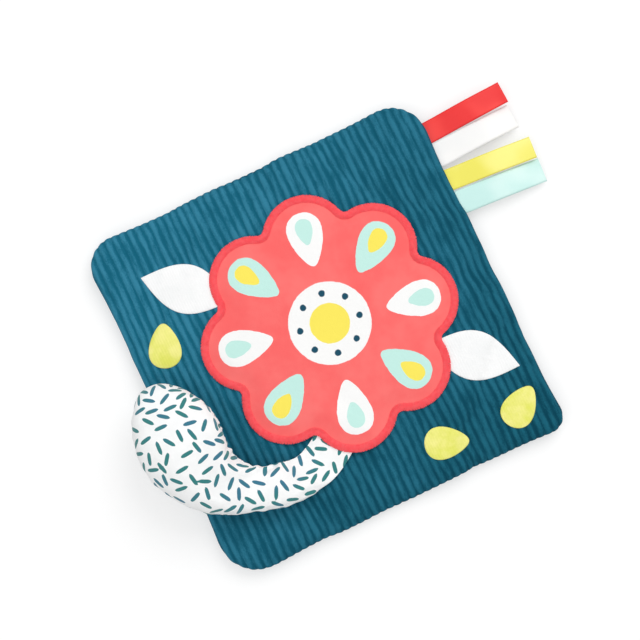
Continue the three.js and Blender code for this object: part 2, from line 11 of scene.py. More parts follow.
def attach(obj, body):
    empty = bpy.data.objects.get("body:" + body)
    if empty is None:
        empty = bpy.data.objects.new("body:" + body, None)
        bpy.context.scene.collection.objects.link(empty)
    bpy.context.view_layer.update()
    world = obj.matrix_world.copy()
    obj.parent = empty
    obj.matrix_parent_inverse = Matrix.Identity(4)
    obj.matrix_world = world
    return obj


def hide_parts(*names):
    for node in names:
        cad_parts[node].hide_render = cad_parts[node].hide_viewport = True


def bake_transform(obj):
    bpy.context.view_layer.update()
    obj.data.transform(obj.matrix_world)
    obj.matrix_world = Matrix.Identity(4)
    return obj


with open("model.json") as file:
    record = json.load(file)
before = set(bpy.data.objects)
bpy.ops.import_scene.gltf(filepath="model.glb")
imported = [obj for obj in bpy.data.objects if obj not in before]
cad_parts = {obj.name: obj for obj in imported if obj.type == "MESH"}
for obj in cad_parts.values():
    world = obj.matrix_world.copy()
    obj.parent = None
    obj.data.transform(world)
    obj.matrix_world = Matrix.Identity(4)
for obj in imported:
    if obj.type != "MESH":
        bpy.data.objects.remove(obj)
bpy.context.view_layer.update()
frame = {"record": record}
MM = 0.001

# Pad sizes in millimetres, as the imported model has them
PAD_SIDE = 165.0
CORNER_RADII = (8.0, 18.0, 15.0, 19.0)  # bottom right, top right, top left, bottom left
SIDE_DRAW_IN = 1.2
SEAM_HEIGHT, SEAM_CLEARANCE = 4.6, 0.15
FRONT_ROLL, FRONT_RISE, CROWN = 9.0, 4.05, 1.8
BACK_ROLL = 8.0

# Corduroy: ribs of cut pile, which stand lower at the seam and under what is sewn on
WALE_PITCH, WALE_HEIGHT, WALE_WANDER, WALE_UNEVENNESS = 3.56, 0.85, 0.18, 0.45
WALE_COLUMNS, WALE_ROWS = 368, 112
SEAM_PRESS, SEAM_PRESS_RUN = 0.5, 3.0
SEAM_DIP, SEAM_DIP_RUN = 0.45, 1.0
SEWN_PRESS, SEWN_PRESS_RUN = 0.6, 1.6
PUCKER_SHARE, PUCKER_CAP = 0.55, 0.9
PUCKER_WIDEST, PUCKER_FINEST = 7.0, 0.7  # cells of the settled cloth
FLOWER_CALM, FLOWER_CALM_RUN = 0.9, (-5, 3)

# Flower
FLOWER_CENTRE = np.array([5.0, 4.5])
PETALS, PETAL_RING, PETAL_RADIUS, PETAL_NOTCH = 8, 39.0, 19.5, 3.0
FLOWER_TURN = math.radians(-100)
VELOUR, VELOUR_PUFF, VELOUR_PUFF_RUN, VELOUR_UNDER = 0.55, 1.2, 8.0, 0.35
EYE_RADIUS, MIDDLE_RADIUS, DOT_RING, DOT_RADIUS, PRINT_EDGE = 9.0, 18.5, 13.6, 1.45, 0.2
EDGING_WIDTH, EDGING_RISE = 3.3, 0.6
STITCH_PITCH, STITCH_SHIFT, STITCH_SLANT, THREAD_RADIUS = 0.42, 0.06, 0.04, 0.25

# Leaves and seeds
LEAF_LENGTH, LEAF_WIDTH, LEAF_TUCK = 42.0, 22.0, 14.0
LEAF_TURNS = {"lower_leaf": -38.0, "upper_leaf": 141.0}
SEED_LENGTH, SEED_WIDTH, SEED_POINT, SEED_FROM_EDGE = 20.0, 14.0, 0.35, 17.0
SEEDS = {"left_seed": (180.0, -27.0, 70.0), "bottom_seed": (-90.0, 29.0, -20.0),
         "right_seed": (0.0, -65.0, 35.0)}  # pad side's direction, distance along the side, turn
PATCH_EDGE, PATCH_RISE, PATCH_UNDER, PATCH_TUCKED = 0.12, 0.5, 0.45, 0.03

# Tail
TAIL_HEADING = math.radians(215)
TAIL_BEND, TAIL_LENGTH, TAIL_TIP, TAIL_TIP_POWER = 37.4, 108.0, 27.0, 2.3
TAIL_ROOT_WIDTH, TAIL_MIDDLE_WIDTH, TAIL_END_WIDTH, TAIL_MIDDLE_AT = 18.5, 22.0, 40.5, 34.0
TAIL_HEIGHT, TAIL_ROOT_THICKNESS = 25.0, 1.3
TAIL_FLAT_ROOT, TAIL_SWELL, TAIL_SAG, TAIL_TAB = 6.0, 26.0, 1.0, 9.0
TAIL_HINGE_GAP, TAIL_CLEARANCE, TAIL_REST = 1.2, 0.3, 0.15
TAIL_SLACK, TAIL_SLACK_RUN, TAIL_SETTLE_CAP = 0.2, 14, 2.2
TAIL_STATIONS, TAIL_AROUND = 58, 36
TAB_ROWS, HELD_ROWS = 4, 6
TAB_SPARE, TAB_MARGIN, TAB_FALL = 1.0, 4.0, 8.0
GATHER_DEPTH, GATHER_REACH, GATHER_WAVES = 0.85, 5.0, (4.7, 6.4, 9.1)
SEAM_PINCH, SEAM_PINCH_REACH = 0.4, 0.9
DASH_LENGTH, DASH_WIDTH, DASH_LIFT = 6.6, 1.78, 0.9
DASH_BESIDE, DASH_ALIKE = 5.2, math.cos(math.radians(25))
DASH_ROUNDS = ((2.2, 4000), (1.9, 6000), (1.65, 14000), (1.5, 8000))  # clear distance, tries

# Ribbons
RIBBON_WIDTH, RIBBON_LENGTH, RIBBON_SEWN, RIBBON_CLOTH = 10.0, 38.0, 7.0, 0.22
RIBBON_GAP, RIBBON_OPENING, RIBBON_FOLD, RIBBON_CUP, RIBBON_CUP_RUN = 0.12, 0.6, 0.35, 0.12, 8
SELVEDGE_FROM, SELVEDGE_TO = 0.7, 0.45  # in from the ribbon's edge


def colour(red, green, blue):
    """A display colour, 0 to 255, as the linear values that a shader takes."""
    parts = [v / 255 for v in (red, green, blue)]
    return (*[v / 12.92 if v <= 0.04045 else ((v + 0.055) / 1.055) ** 2.4 for v in parts], 1.0)


def smoothstep(v, low, high):
    t = np.clip((v - low) / (high - low), 0, 1)
    return t * t * (3 - 2 * t)


def turned(radians):
    return np.array([math.cos(radians), math.sin(radians)])


def circle(angles):
    return np.column_stack([np.cos(angles), np.sin(angles)])


def lengths_along(points):
    """Distances along a line of points, from its first."""
    return np.concatenate([[0], np.cumsum(np.linalg.norm(np.diff(points, axis=0), axis=1))])


def inside_ring(x, y, ring):
    """Distance in plan to a closed ring, over 0 inside it."""
    nearest, inside = np.full(np.shape(x), 1e9), np.zeros(np.shape(x), bool)
    for (ax, ay), (bx, by) in zip(ring, np.roll(ring, -1, axis=0)):
        ex, ey = bx - ax, by - ay
        t = np.clip(((x - ax) * ex + (y - ay) * ey) / (ex * ex + ey * ey), 0, 1)
        nearest = np.minimum(nearest, np.hypot(x - ax - t * ex, y - ay - t * ey))
        if ay != by:
            inside ^= ((ay > y) != (by > y)) & (x < ax + (y - ay) / ey * ex)
    return np.where(inside, nearest, -nearest)


def ripple(x, y, seed, wave, size):
    """Smooth seeded unevenness of cloth."""
    chance, full = np.random.default_rng(seed), 2 * math.pi
    total = 0
    for _ in range(9):
        a, p, k = chance.uniform(0, full), chance.uniform(0, full), chance.uniform(0.6, 1.5)
        total = total + np.sin((x * math.cos(a) + y * math.sin(a)) * full * k / wave + p)
    return total * size / 3


# Mesh helpers


def make_piece(name, points, faces, material=None):
    """A smooth mesh object from points in millimetres."""
    mesh = bpy.data.meshes.new(name)
    mesh.from_pydata((np.asarray(points, float) * MM).tolist(), [], [list(map(int, f)) for f in faces])
    mesh.polygons.foreach_set("use_smooth", [True] * len(mesh.polygons))
    piece = bpy.data.objects.new(name, mesh)
    bpy.context.collection.objects.link(piece)
    if material:
        mesh.materials.append(material)
    return piece


def grid_faces(ids, wrap=False):
    """Quads between neighbouring rows of a table of vertex numbers."""
    ids = np.asarray(ids)
    if wrap:
        ids = np.concatenate([ids, ids[:, :1]], axis=1)
    return np.stack([ids[:-1, :-1], ids[1:, :-1], ids[1:, 1:], ids[:-1, 1:]], axis=-1).reshape(-1, 4)


def set_attribute(piece, name, values, kind="FLOAT"):
    layer = piece.data.attributes.new(name, kind, "POINT")
    layer.data.foreach_set("value" if kind == "FLOAT" else "vector", np.asarray(values, np.float32).ravel())


def take_attribute(piece, name):
    """The values of a number on a piece's points, which it then no longer carries."""
    layer = piece.data.attributes[name]
    values = np.empty(len(piece.data.vertices), np.float32)
    layer.data.foreach_get("value", values)
    piece.data.attributes.remove(layer)
    return values.astype(float)


def set_uv(piece, name, places):
    """A UV map, in metres of flat cloth, from one place for each vertex."""
    layer = piece.data.uv_layers.new(name=name)
    corners = np.empty(len(piece.data.loops), int)
    piece.data.loops.foreach_get("vertex_index", corners)
    layer.data.foreach_set("uv", np.asarray(places, np.float32)[corners].ravel())


def vertex_vectors(mesh, what):
    """Places ("co") or directions ("normal") of a mesh's vertices."""
    flat = np.empty(len(mesh.vertices) * 3)
    mesh.vertices.foreach_get(what, flat)
    return flat.reshape(-1, 3)


def made_plain(piece):
    """Replaces a piece's mesh by what its modifiers make of it, and removes them."""
    graph = bpy.context.evaluated_depsgraph_get()
    made = bpy.data.meshes.new_from_object(piece.evaluated_get(graph), preserve_all_data_layers=True,
                                           depsgraph=graph)
    piece.modifiers.clear()
    piece.data = made
    made.name = piece.name
    return piece


def spread(table, rows, columns):
    """A table of vectors read at shares of its size, with smooth cubic steps between entries."""

    def along_first(values, at):
        last = values.shape[0] - 1
        low = np.clip(np.floor(at).astype(int), 0, last - 1)
        t = (at - low)[:, None, None]
        a, b, c, d = (values[np.clip(low + k, 0, last)] for k in (-1, 0, 1, 2))
        return b + 0.5 * t * (c - a + t * (2 * a - 5 * b + 4 * c - d + t * (3 * (b - c) + d - a)))

    down = along_first(table, rows * (table.shape[0] - 1))
    return along_first(down.transpose(1, 0, 2), columns * (table.shape[1] - 1)).transpose(1, 0, 2)


def blurred(table, radius):
    """A table of vectors smoothed by a bell of that many cells, with its edges held."""
    reach = int(radius * 3)
    weights = np.exp(-0.5 * (np.arange(-reach, reach + 1) / radius) ** 2)
    weights /= weights.sum()
    for axis in (0, 1):
        held = np.pad(table, [(reach, reach) if k == axis else (0, 0) for k in range(3)], mode="edge")
        cells = np.arange(table.shape[axis])
        table = sum(w * np.take(held, cells + k, axis=axis) for k, w in enumerate(weights))
    return table


# Node helpers


def put(value, socket):
    """Links a socket, or sets a plain value."""
    if isinstance(value, bpy.types.NodeSocket):
        socket.id_data.links.new(value, socket)
    else:
        socket.default_value = value


def feed(made, inputs):
    """Fills a node's inputs, by socket name or number."""
    for key, value in dict(inputs).items():
        put(value, made.inputs[key])


def node(tree, kind, inputs=(), **settings):
    made = tree.nodes.new(kind)
    for key, value in settings.items():
        setattr(made, key, value)
    feed(made, inputs)
    return made


def worked(kind, operation, values):
    """What an operation makes of some values, in the tree of the first socket among them."""
    tree = next(v.id_data for v in values if isinstance(v, bpy.types.NodeSocket))
    return node(tree, kind, enumerate(values), operation=operation).outputs[0]


def calc(operation, *values):
    return worked("ShaderNodeMath", operation, values)


def vector(operation, *values):
    return worked("ShaderNodeVectorMath", operation, values)


def mixed(share, low, high):
    """A colour between two others."""
    inputs = {0: share, 6: low, 7: high}
    return node(share.id_data, "ShaderNodeMix", inputs, data_type="RGBA").outputs[2]


def ramp(value, low, high):
    """0 below low, 1 above high, smooth between."""
    inputs = {"Value": value, "From Min": low, "From Max": high}
    made = node(value.id_data, "ShaderNodeMapRange", inputs, interpolation_type="SMOOTHSTEP")
    return made.outputs["Result"]


def noise(place, scale, detail=2.0, rough=0.5):
    inputs = {"Vector": place, "Scale": scale, "Detail": detail, "Roughness": rough}
    return node(place.id_data, "ShaderNodeTexNoise", inputs).outputs[0]


def bands(place, scale, distortion, direction="X"):
    inputs = {"Vector": place, "Scale": scale, "Distortion": distortion}
    return node(place.id_data, "ShaderNodeTexWave", inputs, bands_direction=direction).outputs[1]


def mottled(place, low, high, scale, detail=2.0, rough=0.5, span=(0.3, 0.7)):
    """A colour that wanders between two others."""
    return mixed(ramp(noise(place, scale, detail, rough), *span), low, high)


def new_finish(name, roughness, sheen=0.0, sheen_tint=(1, 1, 1, 1), gloss=0.2):
    """A new material, its shader and its Object coordinates."""
    material = bpy.data.materials.new(name)
    material.use_nodes = True
    shader = material.node_tree.nodes["Principled BSDF"]
    feed(shader, {"Roughness": roughness, "Specular IOR Level": gloss, "Sheen Weight": sheen,
                  "Sheen Tint": sheen_tint})
    return material, shader, node(material.node_tree, "ShaderNodeTexCoord").outputs["Object"]


def paint(shader, shade):
    put(shade, shader.inputs["Base Color"])


def bump(shader, height, distance, strength):
    inputs = {"Strength": strength, "Distance": distance, "Height": height}
    put(node(shader.id_data, "ShaderNodeBump", inputs).outputs[0], shader.inputs["Normal"])


def carried(shader, name):
    """A number that the piece's points carry."""
    return node(shader.id_data, "ShaderNodeAttribute", attribute_name=name).outputs["Fac"]


def flat_map(shader):
    """Places on the flat cloth."""
    return node(shader.id_data, "ShaderNodeUVMap", uv_map="flat").outputs[0]


# Finishes


def corduroy_finish():
    """Teal cut pile, brushed unevenly and a little patchy, with painted shade in the grooves, painted
    highlights on the crests and painted light toward the top-left corner.
    """
    material, shader, place = new_finish("corduroy", roughness=0.95, sheen=0.1,
                                         sheen_tint=colour(120, 190, 215), gloss=0.1)
    brushed = noise(vector("MULTIPLY", place, (1.0, 0.25, 1.0)), 260.0, 3.0, 0.6)
    streaks = noise(vector("MULTIPLY", place, (1.0, 0.14, 1.0)), 750.0, 2.0, 0.6)
    pile = noise(place, 1500.0, 2.0, 0.7)
    # Painted light: the pile is painted lighter toward the pad's top-left corner, added to random patches of
    # tone.
    painted_light_slope = node(place.id_data, "ShaderNodeVectorMath", {0: place, 1: (-0.68, 0.73, 0.0)},
                            operation="DOT_PRODUCT").outputs["Value"]
    patches_and_painted_light = calc("MULTIPLY_ADD", noise(place, 26.0, 3.0, 0.55), 0.15, painted_light_slope)
    patches_and_light_share = ramp(patches_and_painted_light, -0.045, 0.185)
    # Painted shade in the grooves and painted highlights on the crests, from the wale's height, mixed with
    # brushed streaks and pile of the cloth's own tone.
    lit = calc("MULTIPLY_ADD", carried(shader, "wale"), 0.79, -1.66)
    for grain, weight in ((brushed, 1.7), (streaks, 0.9), (pile, 0.8)):
        lit = calc("MULTIPLY_ADD", grain, weight, lit)
    shaded_groove = mixed(patches_and_light_share, colour(6, 69, 88), colour(20, 101, 126))
    lit_crest = mixed(patches_and_light_share, colour(26, 99, 120), colour(55, 132, 160))
    paint(shader, mixed(ramp(lit, 0.15, 1.05), shaded_groove, lit_crest))
    fuzz = noise(place, 2800.0, 2.0, 0.7)
    bump(shader, calc("ADD", fuzz, calc("ADD", pile, brushed)), distance=0.0003, strength=0.6)
    return material


def flower_finish():
    """Short-pile velour with a printed ring of drops, a white middle, a yellow eye and dark dots."""
    material, shader, place = new_finish("velour", roughness=0.9, sheen=0.12,
                                         sheen_tint=colour(255, 200, 195), gloss=0.1)
    wander = node(place.id_data, "ShaderNodeTexNoise", {"Vector": place, "Scale": 420.0}).outputs["Color"]
    stray = vector("SUBTRACT", wander, (0.5, 0.5, 0.5))
    frayed = vector("MULTIPLY_ADD", stray, (0.0006, 0.0006, 0.0), place)
    from_middle = vector("SUBTRACT", frayed, (*(FLOWER_CENTRE * MM), 0.0))
    x, y, _ = node(place.id_data, "ShaderNodeSeparateXYZ", {0: from_middle}).outputs
    away = calc("SQRT", calc("MULTIPLY_ADD", x, x, calc("MULTIPLY", y, y)))
    turn = calc("SUBTRACT", calc("ARCTAN2", y, x), FLOWER_TURN)
    step = 2 * math.pi / PETALS
    count = calc("ROUND", calc("DIVIDE", turn, step))
    local = calc("SUBTRACT", turn, calc("MULTIPLY", count, step))
    odd = calc("GREATER_THAN", calc("PINGPONG", count, 1.0), 0.5)
    along = calc("MULTIPLY", away, calc("COSINE", local))
    across = calc("MULTIPLY", away, calc("SINE", local))

    def drop(middle, length, width, lean, soft):
        """1 inside a drop that lies on the petal's axis."""
        far = calc("DIVIDE", calc("SUBTRACT", along, middle * MM), length * MM / 2)
        wide = calc("MULTIPLY_ADD", far, lean * width * MM / 2, width * MM / 2)
        aside = calc("POWER", calc("DIVIDE", across, wide), 2.0)
        return ramp(calc("SUBTRACT", 1.0, calc("MULTIPLY_ADD", far, far, aside)), 0.0, soft)

    def disc(radius, distance):
        """1 within a radius of a middle point, with a soft printed edge."""
        return ramp(calc("SUBTRACT", radius * MM, distance), -PRINT_EDGE * MM, PRINT_EDGE * MM)

    coral = mottled(place, colour(252, 106, 105), colour(254, 121, 118), 60.0, 3.0, 0.6, (0.3, 0.75))
    white, mint, yellow = colour(250, 250, 249), colour(198, 239, 230), colour(252, 234, 98)
    outer = drop(middle=38.5, length=25, width=15, lean=0.42, soft=0.05)
    inner = drop(middle=42.0, length=12, width=7.5, lean=0.35, soft=0.08)
    petal = mixed(inner, mixed(odd, white, mint), mixed(odd, mint, yellow))
    dot_far = calc("POWER", calc("SUBTRACT", away, DOT_RING * MM), 2.0)
    dot_side = calc("POWER", calc("MULTIPLY", local, DOT_RING * MM), 2.0)
    from_dot = calc("SQRT", calc("ADD", dot_far, dot_side))
    shade = mixed(outer, coral, petal)
    shade = mixed(disc(MIDDLE_RADIUS, away), shade, white)
    shade = mixed(disc(EYE_RADIUS, away), shade, yellow)
    paint(shader, mixed(disc(DOT_RADIUS, from_dot), shade, colour(30, 80, 102)))
    pile = calc("ADD", noise(place, 2600.0, 2.0, 0.7), noise(place, 900.0))
    bump(shader, pile, distance=0.0002, strength=0.5)
    return material


def thread_finish():
    """Shiny stitching thread, each stitch a shade apart from the next."""
    material, shader, place = new_finish("satin_thread", roughness=0.5, gloss=0.3)
    paint(shader, mottled(place, colour(255, 84, 92), colour(255, 99, 105), 700.0))
    return material


def plain_cloth(name, low, high):
    """Smooth knit patch cloth with faint rows."""
    material, shader, place = new_finish(name, roughness=0.9, sheen=0.05)
    paint(shader, mottled(place, low, high, 120.0, 3.0, 0.6))
    bump(shader, calc("ADD", bands(place, 260.0, 1.5), noise(place, 2400.0)), distance=0.00012, strength=0.6)
    return material


def tail_finish():
    """White cotton, printed with ink where the ink value is over 0, in a plain weave."""
    material, shader, place = new_finish("printed_cotton", roughness=0.85, sheen=0.4)
    teal = mottled(place, colour(49, 127, 127), colour(57, 119, 145), 70.0, span=(0.45, 0.7))
    cotton = mottled(place, colour(250, 251, 251), colour(254, 255, 255), 200.0, 3.0)
    paint(shader, mixed(ramp(carried(shader, "ink"), -0.1, 0.1), cotton, teal))
    flat = flat_map(shader)
    weave = calc("ADD", *[bands(flat, 630.0, 0.4, way) for way in ("X", "Y")])
    bump(shader, weave, distance=0.00006, strength=0.5)
    return material


def satin_finish(name, low, high):
    """Ribbon satin: smooth, with fine threads across and a firm woven edge."""
    material, shader, place = new_finish(name, roughness=0.42, gloss=0.35)
    flat = flat_map(shader)
    aside = calc("ABSOLUTE", node(flat.id_data, "ShaderNodeSeparateXYZ", {0: flat}).outputs[1])
    edge = ramp(aside, (RIBBON_WIDTH / 2 - SELVEDGE_FROM) * MM, (RIBBON_WIDTH / 2 - SELVEDGE_TO) * MM)
    tone = ramp(noise(place, 55.0, 1.0), 0.35, 0.65)
    tone = calc("SUBTRACT", tone, calc("MULTIPLY", edge, 0.35))
    paint(shader, mixed(tone, low, high))
    bump(shader, calc("MULTIPLY_ADD", edge, 1.5, bands(flat, 900.0, 0.3)), distance=0.00004, strength=0.4)
    return material


# Pad shape


def pad_outline(steps=24):
    """The sewn outline: four corner arcs joined by sides that are drawn in a little."""
    arcs = []
    corners = ((1, -1), (1, 1), (-1, 1), (-1, -1))
    for corner, radius, start in zip(corners, CORNER_RADII, (-90, 0, 90, 180)):
        angles = np.radians(np.linspace(start, start + 90, steps))
        centre = np.array(corner) * (PAD_SIDE / 2 - radius)
        arcs.append(centre + radius * circle(angles))
    points = []
    for k, arc in enumerate(arcs):
        following = arcs[(k + 1) % 4][0]
        inward = turned(math.radians(180 + 90 * k))
        t = np.linspace(0, 1, 60)[1:-1, None]
        side = arc[-1] + (following - arc[-1]) * t + inward * SIDE_DRAW_IN * 4 * t * (1 - t)
        points += [arc, side]
    return np.concatenate(points)


OUTLINE = pad_outline()
OUTLINE_TURNS = np.arctan2(OUTLINE[:, 1], OUTLINE[:, 0])
OUTLINE_REACH = np.hypot(OUTLINE[:, 0], OUTLINE[:, 1])


def pad_reach(angles):
    """Distance from the pad's middle to its outline."""
    return np.interp(angles, OUTLINE_TURNS, OUTLINE_REACH, period=2 * math.pi)


def rolled_edge(width, rise):
    """Length along a quarter-ellipse edge, with the distance in and the rise at each length."""
    t = np.linspace(0, math.pi / 2, 200)
    into, up = width * (1 - np.cos(t)), rise * np.sin(t)
    length = np.concatenate([[0], np.cumsum(np.hypot(np.diff(into), np.diff(up)))])
    return length, into, up


def front_top(x, y):
    """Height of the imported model's front panel."""
    away = np.hypot(x, y)
    reach = pad_reach(np.arctan2(y, x))
    share = np.minimum(away / reach, 1)
    edge = np.clip((1 - share) * reach / FRONT_ROLL, 0, 1)
    rolled = (FRONT_RISE - SEAM_CLEARANCE) * np.sqrt(1 - (1 - edge) ** 2)
    return SEAM_HEIGHT + SEAM_CLEARANCE + rolled + CROWN * (1 - share**2)


def square_to_pad(A, B, half, reach):
    """Plan places for shares from -1 to 1: a square grid, drawn in to the rounded outline at its edge."""
    angle = np.arctan2(B, A)
    ring = np.maximum(np.abs(A), np.abs(B))
    square = half / np.maximum(np.abs(np.cos(angle)), np.abs(np.sin(angle)))
    fit = 1 + (reach / square - 1) * smoothstep(ring, 0.55, 1)
    return np.stack([A, B], axis=-1) * half * fit[..., None]


def cloth_side(across, along, side):
    """Places on one face of the pad for cloth shares, flat places and distances to the seam.

    The cloth is cut a little larger than the pad, to go round its edges, and lies under the wales."""
    roll = FRONT_ROLL if side > 0 else BACK_ROLL
    rise = (FRONT_RISE if side > 0 else SEAM_HEIGHT) - WALE_HEIGHT
    length, into, up = rolled_edge(roll, rise)
    spare = length[-1] - roll
    A, B = np.meshgrid(across, along, indexing="ij")
    angle = np.arctan2(B, A)
    press = WALE_HEIGHT * SEAM_PRESS
    reach = pad_reach(angle) - press
    flat = square_to_pad(A, B, PAD_SIDE / 2 - press + spare, reach + spare)
    edge = np.maximum(reach + spare - np.hypot(flat[..., 0], flat[..., 1]), 0)
    inset = np.where(edge < length[-1], np.interp(edge, length, into), edge - spare)
    plan = np.maximum(reach - inset - SEAM_DIP * (1 - smoothstep(edge, 0, SEAM_DIP_RUN)), 0)
    crown = CROWN * (1 - (plan / reach) ** 2) if side > 0 else 0
    z = SEAM_HEIGHT + side * (np.interp(edge, length, up) + crown)
    return np.stack([np.cos(angle) * plan, np.sin(angle) * plan, z], axis=-1), flat, edge


def two_sided(front, back):
    """Points and faces of a pad whose two faces share their edge."""
    rows, columns = front.shape[:2]
    ids = np.arange(rows * columns).reshape(rows, columns)
    inner = np.zeros((rows, columns), bool)
    inner[1:-1, 1:-1] = True
    back_ids = ids.copy()
    back_ids[inner] = rows * columns + np.arange(inner.sum())
    points = np.concatenate([front.reshape(-1, front.shape[2]), back[inner]])
    faces = np.concatenate([grid_faces(ids), grid_faces(back_ids)[:, ::-1]])
    return points, faces, ids, back_ids, inner


def settle(piece, frames, pressure, stiffness, bending, seam_shrink, hold=None):
    """Settled points of a closed piece of cloth with air inside, when its seam draws up."""
    cloth = piece.modifiers.new("settle", "CLOTH")
    use = cloth.settings
    use.quality, use.mass, use.air_damping = 7, 0.2, 3.0
    use.tension_stiffness = use.compression_stiffness = stiffness
    use.shear_stiffness, use.bending_stiffness = stiffness / 3, bending
    use.use_pressure, use.uniform_pressure_force = True, pressure
    use.vertex_group_shrink = "seam"
    use.shrink_min, use.shrink_max = seam_shrink
    if hold:
        use.vertex_group_mass = hold
    use.effector_weights.gravity = 0.0
    cloth.collision_settings.use_collision = False
    cloth.point_cache.frame_start, cloth.point_cache.frame_end = 1, frames
    scene = bpy.context.scene
    for k in range(1, frames + 1):
        scene.frame_set(k)
    graph = bpy.context.evaluated_depsgraph_get()
    made = bpy.data.meshes.new_from_object(piece.evaluated_get(graph))
    places = vertex_vectors(made, "co") / MM
    piece.modifiers.clear()
    scene.frame_set(1)
    bpy.data.meshes.remove(made)
    return places


def mark_points(piece, name, ids):
    piece.vertex_groups.new(name=name).add([int(v) for v in np.unique(ids)], 1.0, "REPLACE")


def pad_puckers(cells=52):
    """Small movements of both faces of the pad when its seam draws up and its inside presses out."""
    share = np.linspace(-1, 1, cells + 1)
    front, back = (cloth_side(share, share, side)[0] for side in (1, -1))
    points, faces, ids, back_ids, inner = two_sided(front, back)
    piece = make_piece("pad_settling", points, faces)
    mark_points(piece, "seam", ids[~inner])
    moved = settle(piece, frames=22, pressure=2.2, stiffness=12.0, bending=0.4,
                   seam_shrink=(-0.012, 0.07)) - points
    bpy.data.objects.remove(piece)
    results = []
    for table in (ids, back_ids):
        fine = PUCKER_SHARE * blurred(moved[table] - blurred(moved[table], PUCKER_WIDEST), PUCKER_FINEST)
        size = np.linalg.norm(fine, axis=-1, keepdims=True)
        results.append(fine * np.minimum(1, PUCKER_CAP / np.maximum(size, 1e-6)))
    return results


# What is sewn on the front, in plan


def flower_outline(moved_in, petal_steps=36, notch_steps=10):
    """The flower's outline moved in: round petals with a small round notch between each two."""
    half = math.pi / PETALS
    across, inward = PETAL_RING * math.sin(half), PETAL_RING * math.cos(half)
    notch_ring = inward + math.sqrt((PETAL_RADIUS + PETAL_NOTCH) ** 2 - across**2)
    lean = math.atan2(across, notch_ring - inward)
    points = []
    for k in range(PETALS):
        out = FLOWER_TURN + 2 * half * k
        petal = FLOWER_CENTRE + PETAL_RING * turned(out)
        notch = FLOWER_CENTRE + notch_ring * turned(out + half)
        a = np.linspace(out - half - lean, out + half + lean, petal_steps)
        b = np.linspace(out + half + math.pi + lean, out + half + math.pi - lean, notch_steps)[1:-1]
        points.append(petal + (PETAL_RADIUS - moved_in) * circle(a))
        points.append(notch + (PETAL_NOTCH + moved_in) * circle(b))
    return np.concatenate(points)


def leaf_outline(steps=44):
    t = np.linspace(0, 1, steps + 1)
    upper = np.column_stack([LEAF_LENGTH * (t - 0.5), LEAF_WIDTH / 2 * np.sin(math.pi * t)])
    return np.concatenate([upper * [1, -1], upper[-2:0:-1]])


def seed_outline(steps=64):
    t = np.linspace(0, 2 * math.pi, steps, endpoint=False)
    narrowing = 1 - SEED_POINT * np.cos(t)
    return np.column_stack([SEED_LENGTH / 2 * np.cos(t), SEED_WIDTH / 2 * np.sin(t) * narrowing])


def sewn_patches():
    """Each leaf's and seed's centre and outline on the pad."""

    def laid(ring, centre, turn):
        return centre, ring @ np.array([turned(turn), turned(turn + math.pi / 2)]) + centre

    patches = {}
    for name, degrees in LEAF_TURNS.items():
        out = math.radians(degrees)
        far = PETAL_RING + PETAL_RADIUS - LEAF_TUCK + LEAF_LENGTH / 2
        patches[name] = laid(leaf_outline(), FLOWER_CENTRE + turned(out) * far, out)
    for name, (edge, along, degrees) in SEEDS.items():
        out = math.radians(edge)
        centre = turned(out) * (PAD_SIDE / 2 - SEED_FROM_EDGE) + turned(out + math.pi / 2) * along
        patches[name] = laid(seed_outline(), centre, math.radians(degrees))
    return patches


PATCHES = sewn_patches()
FLOWER_RING = flower_outline(0, petal_steps=14, notch_steps=5)


# Corduroy cover


def tree_with(name, numbers, material):
    """A new modifier tree with a geometry, some named numbers and a material going in."""
    tree = bpy.data.node_groups.new(name, "GeometryNodeTree")
    tree.is_modifier = True
    new = tree.interface.new_socket
    new("Geometry", in_out="INPUT", socket_type="NodeSocketGeometry")
    for number in numbers:
        new(number, in_out="INPUT", socket_type="NodeSocketFloat")
    new(material, in_out="INPUT", socket_type="NodeSocketMaterial")
    new("Geometry", in_out="OUTPUT", socket_type="NodeSocketGeometry")
    return tree, node(tree, "NodeGroupInput").outputs


def named(tree, name, kind="FLOAT"):
    inputs = {"Name": name}
    return node(tree, "GeometryNodeInputNamedAttribute", inputs, data_type=kind).outputs["Attribute"]


def finish_tree(tree, geometry, material):
    whole = node(tree, "GeometryNodeRealizeInstances", {0: geometry}).outputs[0]
    dressed = node(tree, "GeometryNodeSetMaterial", {"Geometry": whole, "Material": material}).outputs[0]
    node(tree, "NodeGroupOutput", {0: dressed})


def apply_tree(piece, tree, **values):
    """Runs a node tree on a piece with its named inputs set, and leaves a plain mesh."""
    modifier = piece.modifiers.new(tree.name, "NODES")
    modifier.node_group = tree
    for item in tree.interface.items_tree:
        if item.item_type == "SOCKET" and item.in_out == "INPUT" and item.name in values:
            modifier[item.identifier] = values[item.name]
    return made_plain(piece)


